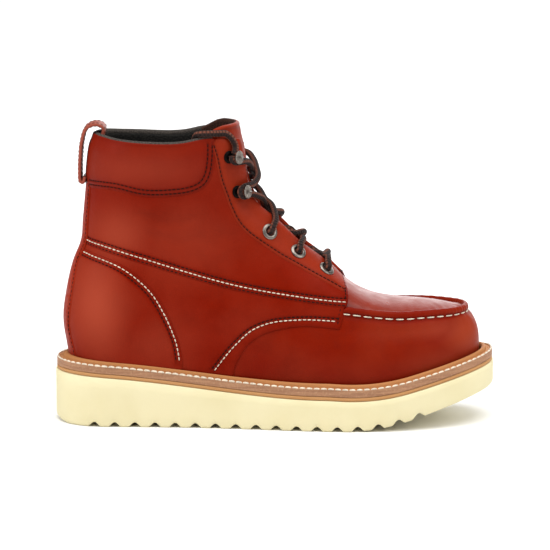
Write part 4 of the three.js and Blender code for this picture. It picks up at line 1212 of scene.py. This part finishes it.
def sew_panels():
    def rows(kind, *lines, rise=-THREAD_DEPTH):
        return [(line, PANELS[kind]["high"] + rise) for half in lines for line in both_sides(half)]

    white = rows("quarter", band_row) + rows("counter", counter_row) + rows("lower_quarter", vamp_row)
    sew("white_stitches", white, WHITE_THREAD, length=2.5, gap=0.75, thick=0.85)
    black = rows("quarter", band_rows[0], band_rows[2]) + rows("counter", counter_rows[1])
    black += rows("lower_quarter", vamp_rows[1])
    black += rows("eyestay", line_up_to_collar(eyestay_row[::-1], SEAM_DROP))
    black += rows("cuff", cuff_rows[0], rise=0) + rows("cuff", cuff_rows[1], rise=0.5)
    black += rows("back_stay", stay_row) + rows("eyestay", front_row)
    black += rows("lower_quarter", lower_front_row)
    sew("black_stitches", black, BLACK_THREAD, thick=0.7)


# The toe: one wall from the welt to the moc seam, its gathered ridge, and the plug inside it.

VAMP_REAR, RIDGE_FADE = -46.0, (43.5, 50.5)
MOC_PITCH, MOC_STITCH, MOC_THREAD = 7.5, 5.6, 0.95
MOC_STITCH_DROP = 0.8
# The wall's height as it is used for its groove under the ridge and for the puckers below the stitches.
WALL_HEIGHT, WALL_LOW, WALL_ROWS = 40.0, -0.12, 34
GROOVE_DOWN, GROOVE_REACH, GROOVE_DEPTH = 1.5, 1.6, 0.75
PUCKER_REACH, PUCKER_DEPTH = 8.0, 0.28
# Section of the ridge: outward and upward from the top of the wall.
RIDGE_SECTION = [
    (0.25, 0.4), (0.4, 1.3), (0.2, 2.5), (-0.45, 3.5), (-1.4, 4.1), (-2.4, 4.15), (-3.3, 3.5), (-3.9, 2.5),
    (-4.2, 1.4), (-4.4, 0.3), (-4.6, -0.6),
]
# How much the stitches swell and pinch the ridge, and how far it strays from its line by hand.
RIDGE_SWELL, RIDGE_PINCH, RIDGE_STRAY = 0.04, 0.14, 0.12
FIRST_STITCH_SHARE = 0.35
PLUG_INSET, PLUG_REAR, PLUG_DROP = 4.3, 33.0, 0.3
FOLD_DEPTH, FOLD_REACH = 0.5, 4.0
RIPPLE_DEPTH, RIPPLE_REACH = 0.12, 7.0


def toe_loop(v, count=230):
    """A level line of the wall from the rear of the vamp round the toe, at a share of its height."""
    t = np.sin(np.pi / 2 * np.linspace(0, 1, count))
    x = mix(VAMP_REAR, toe_front(v), t)
    z = mix(feather(x), shoulder_at(x), v)
    y = half_width(x, z)
    y[-1] = 0
    outer, inner = two_sides(x, swing_at(x, z), y, z)
    return np.concatenate([outer, inner[-2::-1]])


def moc_path():
    path = toe_loop(1.0)
    along = unit(np.gradient(path, axis=0))
    outward = unit(np.stack([along[:, 1], -along[:, 0], 0 * along[:, 0]], axis=1))
    return path, outward, distances(path)


MOC_PATH, MOC_OUTWARD, MOC_RUN = moc_path()


def gather(run):
    """1 in the middle of a stitch and 0 between two stitches."""
    middle = MOC_RUN[-1] / 2
    return 0.5 + 0.5 * np.cos(2 * np.pi * (run - middle) / MOC_PITCH)


def make_vamp():
    count = 640
    at = np.linspace(0, MOC_RUN[-1], count)
    path, outward = table_at(at, MOC_RUN, MOC_PATH), unit(table_at(at, MOC_RUN, MOC_OUTWARD))
    fade = smooth((path[:, 0] - RIDGE_FADE[0]) / (RIDGE_FADE[1] - RIDGE_FADE[0]))
    puckers = gather(at) * fade
    rows, tones = [], []
    for v in np.linspace(WALL_LOW, 1, WALL_ROWS):
        level = table_at(at, MOC_RUN, toe_loop(max(v, 0)))
        level[:, 2] += min(v, 0) * WALL_HEIGHT
        down = (1 - v) * WALL_HEIGHT
        groove = np.exp(-(((down - GROOVE_DOWN) / GROOVE_REACH) ** 2)) * fade
        push = GROOVE_DEPTH * groove + PUCKER_DEPTH * np.exp(-down / PUCKER_REACH) * puckers
        rows.append(level - outward * push[:, None])
        # Painted shade in the groove under the ridge.
        tones.append(0.5 * groove)
    for a, b in RIDGE_SECTION:
        swell = 1 + RIDGE_SWELL * (1 - gather(at))
        across = a * mix(0.2, 1, fade) + RIDGE_STRAY * np.sin(at * 1.9) * fade
        rise = b * mix(0.15, 1, fade) * (swell if b > 2 else 1)
        pinch = RIDGE_PINCH * puckers * (1 if b < 2.6 and a > -2 else 0.35)
        rows.append(path + outward * (across - pinch)[:, None] + np.stack([0 * at, 0 * at, rise], axis=1))
        # Painted shade along the feet of the ridge.
        tones.append(np.full(count, 0.4 if b < 1 else 0.0))
    points = np.concatenate(rows)
    faces = grid_faces(len(rows), count)
    # Painted highlights are taken off the tone.
    tone = np.concatenate(tones) - painted_highlight_at(points)
    add_mesh("vamp", points, faces, VAMP, "upper_leather", ["upper"], tone=tone)


def moc_stitches():
    at = np.linspace(0, MOC_RUN[-1], 900)
    path, outward = table_at(at, MOC_RUN, MOC_PATH), unit(table_at(at, MOC_RUN, MOC_OUTWARD))
    shown = path[:, 0] > RIDGE_FADE[0]
    path = path[shown] + outward[shown] * 0.1 - [0, 0, MOC_STITCH_DROP]
    middle = MOC_RUN[-1] / 2 - at[shown][0]
    start = (middle % MOC_PITCH) / MOC_PITCH
    start += start <= FIRST_STITCH_SHARE
    gap = MOC_PITCH - MOC_STITCH
    row = stitch_row(path, outward[shown], MOC_STITCH, gap, MOC_THREAD, start)
    add_mesh("moc_stitches", *row, WHITE_THREAD, "upper_leather")


def make_plug():
    rows, columns = 150, 141
    front = float(toe_front(1)) - PLUG_INSET
    x = mix(PLUG_REAR, front, np.sin(np.pi / 2 * np.linspace(0, 1, rows)))
    q = np.sin(np.pi / 2 * np.linspace(-1, 1, columns))
    x, q = np.meshgrid(x, q, indexing="ij")
    reach = UPPER_LENGTH * TOE_REACH_HIGH
    wide = BALL_WIDTH * FOOT["half"](upper_share(x)) * round_end((toe_front(1) - x) / reach, TOE_END)
    inner = np.maximum(wide - PLUG_INSET, 0) * np.minimum(1, (front - x + 1e-6) / 4) ** 0.5
    rise = crown_at(x) - shoulder_at(x)
    arch = (1 - q**2) ** FOOT["round"](upper_share(x))
    z = shoulder_at(x) - PLUG_DROP + (rise + PLUG_DROP) * arch
    points = np.stack([x, swing_at(x, z) + q * inner, z], axis=-1).reshape(-1, 3)
    gap = np.full(len(points), 1e9)
    run = np.zeros(len(points))
    for at, spot in zip(MOC_RUN[::2], MOC_PATH[::2]):
        far = np.hypot(points[:, 0] - spot[0], points[:, 1] - spot[1])
        run = np.where(far < gap, at, run)
        gap = np.minimum(far, gap)
    fade = smooth((points[:, 0] - RIDGE_FADE[0]) / 8)
    from_edge = gap - PLUG_INSET
    folds = np.exp(-from_edge / FOLD_REACH) * fade
    points[:, 2] -= FOLD_DEPTH * folds * gather(run)
    points[:, 2] += RIPPLE_DEPTH * np.exp(-from_edge / RIPPLE_REACH) * np.sin(run * 0.61 + 1.3) * fade
    # Painted shade: the plug darker near its edge, under the moc ridge.
    tone = np.clip(0.45 * np.exp(-from_edge / 1.4), 0, 1)
    add_mesh("plug", points, grid_faces(rows, columns), PLUG, "upper_leather", tone=tone)


make_quarters()
sew_panels()
make_vamp()
moc_stitches()
make_plug()


# Tongue, lining and pull loop.

TONGUE_LOW = 83.5
TONGUE_LIFT = -LEATHER - TONGUE_GAP
TONGUE_REAR = -60.0
TONGUE_ROUND, TONGUE_EDGE, TONGUE_SEAM = 2.4, 2.3, 3.2
# Half width of the tongue by height, and its top edge in side view as (x, z).
TONGUE_SIDES = [(83, 19.2), (130, 24), (150, 28.5), (165, 33.5), (177, 46.8), (230, 46.8)]
TONGUE_TOP = [
    (-61, 194.5), (-60, 195), (-51, 199.2), (-43, 203.2), (-37, 206.2), (-31, 207.9), (-22, 208.4),
    (10, 208.4),
]


def tongue_reach(z):
    """How far the tongue goes round the form at a height, from its front centre."""
    half = float(np.interp(z, *np.array(TONGUE_SIDES, float).T))
    side = run_at_gap(z, min(half, float(row_at(ROW_Y, z).max()) - 0.2))
    return row_at(ROW_LENGTH, z) - max(side, run_at(TONGUE_REAR, z))


def tongue_table():
    """A grid on the tongue: distances round the form, heights, and how far each point is from the edge."""
    crest = max(z for _, z in TONGUE_TOP)
    rounded = crest - TONGUE_ROUND * np.cos(np.linspace(0.15, 1, 8) * np.pi / 2)
    levels = np.concatenate([np.linspace(TONGUE_LOW, crest - TONGUE_ROUND, 120), rounded])
    shares = np.sin(np.pi / 2 * np.linspace(-1, 1, 91))
    ramp = np.array([tongue_reach(z) for z in levels])
    soft = np.convolve(np.pad(ramp, 6, mode="edge"), np.ones(13) / 13, mode="valid")
    runs, heights, edges = [], [], []
    for level in levels:
        for share in shares:
            z = level
            for _ in range(3):
                reach = float(np.interp(z, levels, soft))
                s = row_at(ROW_LENGTH, z) - abs(share) * reach
                x = float(skin(s, z)[0])
                top = float(np.interp(x, *np.array(TONGUE_TOP, float).T))
                z = TONGUE_LOW + (level - TONGUE_LOW) * (top - TONGUE_LOW) / (crest - TONGUE_LOW)
            runs.append(s if share >= 0 else -s)
            heights.append(z)
            edges.append(min(top - z, (1 - abs(share)) * reach))
    return np.array(runs), np.array(heights), np.array(edges), len(levels), len(shares)


def make_tongue():
    runs, heights, edges, rows, columns = tongue_table()
    rounding = np.sqrt(1 - (1 - np.clip(edges / TONGUE_EDGE, 0, 1)) ** 2)
    middle = TONGUE_LIFT - TONGUE_THICK / 2
    ripple = 0.35 * np.sin(heights / 7.3) * np.cos(runs / 9.0)
    seam_dip = 0.4 * np.exp(-(((edges - TONGUE_SEAM) / 0.8) ** 2))
    front = skin(runs, heights, middle + rounding * (TONGUE_THICK / 2 + ripple - seam_dip))
    back = skin(runs, heights, middle - rounding * (TONGUE_THICK / 2 - 0.3))
    faces = grid_faces(rows, columns)
    # Painted shade along the dip of the tongue's seam.
    tone = 0.5 * np.exp(-(((edges - TONGUE_SEAM) / 1.2) ** 2))
    add_mesh("tongue_front", front, faces, TONGUE, "tongue_leather", ["tongue"], tone=tone)
    add_mesh("tongue_lining", back, [face[::-1] for face in faces], TONGUE_LINING, "tongue_leather")
    half = edges.reshape(rows, columns)[: rows - 16, : columns // 2]
    inset = np.abs(half - TONGUE_SEAM).argmin(axis=1)
    level = np.arange(len(inset))
    grid_runs, grid_heights = runs.reshape(rows, columns), heights.reshape(rows, columns)
    parts = []
    for picked in (inset, columns - 1 - inset):
        line = np.stack([grid_runs[level, picked], grid_heights[level, picked]], axis=1)
        line = resample(line[4:], 1.0)
        points = skin(*line.T, TONGUE_LIFT - 0.3)
        parts.append(stitch_row(points, skin(*line.T, TONGUE_LIFT + 1) - points, thick=0.7))
    add_mesh("tongue_stitches", *joined(parts), BLACK_THREAD, "tongue_leather")


LINING_LOW, LINING_FRONT, LINING_DROP = 40.0, 44.0, 2.2
PAD_DEPTH, PAD_LOW = 1.6, 24.0


def make_lining():
    """One wall of padded textile inside the shaft, from the footbed to the collar, open at the throat."""
    heights = np.linspace(LINING_LOW, COLLAR_TOP + 4, 120)
    shares = np.linspace(-1, 1, 161)
    points = []
    for z in heights:
        in_throat = z > THROAT_BASE + 7
        end = run_at_gap(z, throat_half(z) + 0.9) if in_throat else run_at(LINING_FRONT, z)
        runs = shares * end
        x = skin(runs, z)[:, 0]
        drop = collar_at(x) - z
        level = np.minimum(z, collar_at(x) - LINING_DROP)
        pad = PAD_DEPTH * smooth((PAD_LOW - drop) / 18) * smooth((drop + 1) / 5)
        points.append(skin(runs, level, -LEATHER - 0.1 - pad))
    faces = grid_faces(len(heights), len(shares))
    add_mesh("shaft_lining", np.concatenate(points), [f[::-1] for f in faces], LINING, "lining")


# Where the pull loop starts on the shaft, how far its inner side keeps from the hollow of the heel, and how
# far its rows of stitches lie from its edges.
LOOP_LOW, LOOP_HOLLOW, LOOP_HEM = 0.8, 0.3, 2.2


def strap_path():
    low = HEEL_FEATHER + LOOP_LOW * SHAFT_HEIGHT
    edge = float(collar_at(UPPER_BACK + 15))
    width = LOOP_WIDTH / 2

    def outside(z):
        return float(back_at(z)) - COLLAR_PAD - 0.6 - LOOP_THICK / 2

    def inside(z):
        hollow = LOOP_HOLLOW * width**2 / (COLLAR_WIDTH * float(shaft("back_round", z)))
        return float(back_at(z)) + LEATHER + 0.3 + LOOP_THICK / 2 + hollow

    return spline([
        (outside(low) + 2, 0, low + 3), (outside(low) + 0.8, 0, low - 0.6), (outside(low) - 1, 0, low - 0.2),
        (outside(low + 8) - 2.2, 0, low + 8), (outside(low + 20) - 3, 0, low + 20),
        (outside(edge - 8) - 3.4, 0, edge - 8), (outside(edge) - 1.6, 0, edge + 0.5 * LOOP_RISE),
        (mix(outside(edge), inside(edge), 0.55), 0, edge + LOOP_RISE),
        (inside(edge) + 0.4, 0, edge + 0.5 * LOOP_RISE), (inside(edge - 6), 0, edge - 6),
        (inside(edge - 16), 0, edge - 16),
    ], 0.8)


def make_pull_loop():
    path = strap_path()
    tangent = unit(np.gradient(path, axis=0))
    normal = np.stack([-tangent[:, 2], 0 * tangent[:, 0], tangent[:, 0]], axis=1)
    turn = np.linspace(0, 2 * np.pi, 48, endpoint=False)
    across = np.sign(np.cos(turn)) * np.abs(np.cos(turn)) ** 0.45 * LOOP_WIDTH / 2
    deep = np.sign(np.sin(turn)) * np.abs(np.sin(turn)) ** 0.3 * LOOP_THICK / 2
    dip = 0.18 * np.exp(-(((np.abs(across) - LOOP_WIDTH / 2 + LOOP_HEM) / 0.7) ** 2))
    deep = deep - dip * np.sign(deep)
    points = path[:, None] + normal[:, None] * deep[None, :, None] + np.outer(across, [0, 1, 0])[None]
    faces = grid_faces(len(path), len(turn), closed=True)
    faces.append(list(range(len(turn)))[::-1])
    faces.append([(len(path) - 1) * len(turn) + k for k in range(len(turn))])
    points = points.reshape(-1, 3)
    add_mesh("pull_strap", points, faces, STRAP, "tongue_leather", ["pull_loop"], tone=np.zeros(len(points)))
    rows = []
    for out in (-1, 1):
        line = path + normal * out * (LOOP_THICK / 2 - 0.15)
        for share in (-1, 1):
            beside = line + [0, share * (LOOP_WIDTH / 2 - LOOP_HEM), 0]
            rows.append(stitch_row(beside[2:-2], (normal * out)[2:-2], *LOOP_STITCH))
    low = path[4] + normal[4] * (LOOP_THICK / 2 - 0.1)
    spots = low + np.outer(np.linspace(-1, 1, 30) * (LOOP_WIDTH / 2 - 2), [0, 1, 0])
    rows.append(stitch_row(spots, np.tile(normal[4], (30, 1)), *LOOP_STITCH))
    add_mesh("loop_stitches", *joined(rows), BLACK_THREAD, "tongue_leather")


# Sole, midsole, welt and footbed.

SOLE_STEPS = 800
# A groove of the sole runs out softly past its gap, so its wave is a little wider and deeper.
LUG_HALF, LUG_RISE = 0.64 * LUG_GAP, 1.1 * LUG_DEPTH


def stack(rings):
    """A closed solid through rings of [outer side, inner side] points, capped across."""
    n = len(rings[0])
    faces = grid_faces(len(rings), n, closed=True)
    last = (len(rings) - 1) * n
    for j in range(n // 2):
        a, b, c, d = j, j + 1, (n - j - 1) % n, (n - j) % n
        low = [k for i, k in enumerate((d, c, b, a)) if k not in (d, c, b, a)[:i]]
        high = [k for i, k in enumerate((a, b, c, d)) if k not in (a, b, c, d)[:i]]
        if len(low) > 2:
            faces.append(low)
            faces.append([last + k for k in high])
    return np.concatenate(rings), [face[::-1] for face in faces]


def sole_ring(inset, shares, height):
    half = SOLE_LENGTH / 2 - inset
    x = half * shares
    outer, inner = two_sides(x, swing(x), sole_outline(inset, x), height(x))
    return np.concatenate([outer, inner[-2:0:-1]])


def wave(x):
    """The cross grooves: how far the underside rises at x."""
    rise = np.zeros_like(x)
    for n in range(LUG_COUNT):
        t = (x - (LUG_FIRST + n * LUG_PITCH)) / LUG_HALF
        rise = np.maximum(rise, LUG_RISE * np.clip(1 - t * t, 0, 1) ** 2)
    return rise


def make_sole_unit():
    even = -np.cos(np.pi * np.linspace(0, 1, SOLE_STEPS + 1))
    r = EDGE_ROUND

    def underside(lift):
        return lambda x: np.minimum(bottom_rise(x) + wave(x) + lift, sole_top(x) - 2)

    def share_up(t):
        low = underside(1.3 * r)
        return lambda x: mix(low(x), sole_top(x) - 0.5, t)

    rounding = [(1, 0), (0.6, 0.12), (0.25, 0.5), (0, 1.3)]
    rings = [sole_ring(inset * r, even, underside(lift * r)) for inset, lift in rounding]
    rings += [sole_ring(0, even, share_up(t)) for t in (0.25, 0.5, 0.75, 1)]
    rings.append(sole_ring(0.5, even, sole_top))
    add_mesh("wedge_sole", *stack(rings), RUBBER, "wedge_rubber", ["outsole"])
    bevel = 0.35
    band = [(bevel, 0), (0, bevel), (0, MIDSOLE_THICK - bevel), (bevel, MIDSOLE_THICK)]
    rings = [
        sole_ring(WELT_INSET + inset, even, lambda x, up=up: sole_top(x) + SEAT + up) for inset, up in band
    ]
    add_mesh("midsole_line", *stack(rings), ORANGE, "midsole_edge", ["midsole"])


def upper_foot(spare, steps):
    """The upper's outline at the feather line, moved outward, in the order of sole_ring."""
    back = float(back_at(feather(UPPER_BACK)))
    x = mix(back, toe_front(0), (1 - np.cos(np.pi * np.linspace(0, 1, steps + 1))) / 2)
    z = feather(x)
    y = half_width(x, z)
    y[[0, -1]] = 0
    outer, inner = two_sides(x, swing_at(x, z), y, z)
    line = np.concatenate([outer, inner[-2:0:-1]])[:, :2]
    along = np.roll(line, -1, axis=0) - np.roll(line, 1, axis=0)
    return line + unit(np.stack([along[:, 1], -along[:, 0]], axis=1)) * spare


# Section of the welt: share from the upper to the edge of the sole, and height.
WELT_SECTION = [
    (0, 0.02), (0.97, 0), (1, 0.35), (1.0, 2.0), (0.985, 2.35), (0.985, 2.55), (1.0, 2.9), (1.0, 4.5),
    (0.985, 4.95), (0.95, 5.2), (0.82, 5.2), (0.79, 4.95), (0.74, 4.9), (0.71, 5.2), (0.56, 5.25), (0.5, 5.3),
    (0.47, 5.6), (0.45, 6.2), (0.41, 6.9), (0.34, 7.6), (0.26, 8.0), (0.17, 8.2), (0.08, 8.1), (0, 7.8),
]
WELT_GAP, WELT_STITCH_SHARE, WELT_STITCH_HIGH, STRIP_SHARE = 1.7, 0.9, 5.3, 0.84


def make_welt():
    steps = 520
    shares = -np.cos(np.pi * np.linspace(0, 1, steps + 1))
    outer = sole_ring(WELT_INSET, shares, lambda x: 0 * x)[:, :2]
    inner = upper_foot(WELT_GAP, steps)
    n = len(outer)

    def place(share, high):
        spot = mix(inner, outer, share)
        return np.concatenate([spot, (welt_floor(spot[:, 0]) + high)[:, None]], axis=1)

    rings = [place(share, high) for share, high in WELT_SECTION]
    points = np.stack(rings, axis=1).reshape(-1, 3)
    m = len(rings)
    one = np.array(grid_faces(2, m, closed=True))
    faces = (one[None] + np.arange(n)[:, None, None] * m) % (n * m)
    tone = np.tile([float(share < STRIP_SHARE) for share, _ in WELT_SECTION], n)
    add_mesh("storm_welt", points, faces.reshape(-1, 4).tolist(), WELT, "welt_strip", ["welt"], tone=tone)
    line = place(WELT_STITCH_SHARE, WELT_STITCH_HIGH)
    line = np.concatenate([line, line[:1]])
    up = np.tile([0.0, 0, 1], (len(line), 1))
    add_mesh("welt_stitches", *stitch_row(line, up, *WELT_STITCH), TAN_THREAD, "welt_strip")


def make_footbed():
    rings = []
    for spare, high in ((-3.4, 0.1), (-3.3, 0.5), (-3.3, INSOLE_THICK - 1), (-4.2, INSOLE_THICK)):
        line = upper_foot(spare, 200)
        rings.append(np.concatenate([line, (welt_floor(line[:, 0]) + high)[:, None]], axis=1))
    add_mesh("footbed", *stack(rings), FOOTBED, "lining", ["insole"])


# Eyelets and lace hooks.

# Rays in relief on a hook's head: how many, how deep, and which rows of its profile they lift.
HEAD_STEPS, HEAD_RAYS, RAY_DEPTH, RAYED_ROWS = 96, 12, 0.28, range(6, 11)


def turned(axis):
    """A rotation whose third axis is the given one."""
    axis = unit(axis)
    forward = unit(np.array([1, 0, 0]) - axis * axis[0])
    return np.stack([forward, np.cross(axis, forward), axis], axis=1)


def make_fittings():
    lift = OVERLAY + 0.3
    flange = [
        (EYELET_HOLE, -LEATHER), (EYELET_HOLE, lift + 0.25), (EYELET_HOLE + 0.25, lift + 0.7),
        (EYELET_HOLE + 0.8, lift + EYELET_HIGH), (EYELET_RADIUS - 1.5, lift + EYELET_HIGH - 0.05),
        (EYELET_RADIUS - 0.6, lift + EYELET_HIGH - 0.3), (EYELET_RADIUS - 0.1, lift + 0.35),
        (EYELET_RADIUS, lift), (EYELET_RADIUS - 0.3, lift - 0.5),
    ]
    washer = [
        (HOOK_BASE - 0.3, lift - 0.6), (HOOK_BASE, lift), (HOOK_BASE, lift + 0.45),
        (HOOK_BASE - 0.35, lift + 0.8), (2.4, lift + 1.0), (HOOK_POST, lift + 1.3),
    ]
    top = lift + HOOK_REACH
    head = [
        (HOOK_POST, lift + 1.2), (HOOK_POST, top - 3.0), (2.0, top - 2.1), (HOOK_HEAD - 0.8, top - 1.7),
        (HOOK_HEAD, top - 1.25), (HOOK_HEAD + 0.1, top - 0.9), (HOOK_HEAD - 0.2, top - 0.5),
        (HOOK_HEAD - 1.0, top - 0.2), (HOOK_HEAD - 1.6, top - 0.35), (HOOK_HEAD - 2.2, top - 0.1),
        (1.0, top), (0.01, top),
    ]
    for row, spec in enumerate(LACE_ROWS):
        for end, side in SIDES.items():
            point, normal = fitting(row, side)
            turn = turned(normal)
            node = f"{spec['kind']}_{row + 1}_{end}"
            if spec["kind"] == "eyelet":
                add_mesh(f"{node}_flange", *lathe(flange, turn, point), SILVER, "fitting_metal", [node])
                continue
            add_mesh(f"{node}_washer", *lathe(washer, turn, point), BLACK_METAL, "fitting_metal")
            turn = turned(hook_axis(normal))
            shape = lathe(head, turn, point, HEAD_STEPS, HEAD_RAYS, RAY_DEPTH, RAYED_ROWS)
            add_mesh(f"{node}_head", *shape, SILVER, "fitting_metal", [node])


make_tongue()
make_lining()
make_pull_loop()
make_sole_unit()
make_welt()
make_footbed()
make_fittings()


# Studio.

FLOOR_SIZE = 200.0
FLOOR_WHITE, WORLD_LIGHT = 0.86, 0.3
LIGHTS = table(
    "name kind spot size power",
    ("sky", "SUN", (0.1, -0.4, 2.0), math.radians(60), 3.0),
    ("left", "AREA", (-1.5, -0.7, 1.0), 1.0, 15),
    ("right", "AREA", (1.5, -0.7, 1.0), 1.0, 10),
    ("back", "AREA", (0.5, 1.5, 0.7), 1.2, 11),
)


def make_studio():
    half = FLOOR_SIZE / 2
    corners = [(-half, -half, 0), (half, -half, 0), (half, half, 0), (-half, half, 0)]
    mesh = bpy.data.meshes.new("floor")
    mesh.from_pydata(corners, [], [(0, 1, 2, 3)])
    finish = Finish("floor_white", Base_Color=(FLOOR_WHITE, FLOOR_WHITE, FLOOR_WHITE, 1), Roughness=0.9)
    finish.set(Specular_IOR_Level=0.0)
    mesh.materials.append(finish.material)
    floor = bpy.data.objects.new("floor", mesh)
    bpy.context.scene.collection.objects.link(floor)
    for row in LIGHTS:
        data = bpy.data.lights.new(row["name"], row["kind"])
        setattr(data, "angle" if row["kind"] == "SUN" else "size", row["size"])
        data.energy = row["power"]
        light = bpy.data.objects.new(row["name"], data)
        light.location = row["spot"]
        light.rotation_euler = (Vector(row["spot"]) - CAMERA_TARGET).to_track_quat("Z", "Y").to_euler()
        bpy.context.scene.collection.objects.link(light)
    world = bpy.data.worlds.new("studio")
    world.use_nodes = True
    background = world.node_tree.nodes["Background"]
    background.inputs["Color"].default_value = (1, 1, 1, 1)
    background.inputs["Strength"].default_value = WORLD_LIGHT
    bpy.context.scene.world = world
    bpy.context.scene.view_settings.view_transform = "Standard"


make_studio()
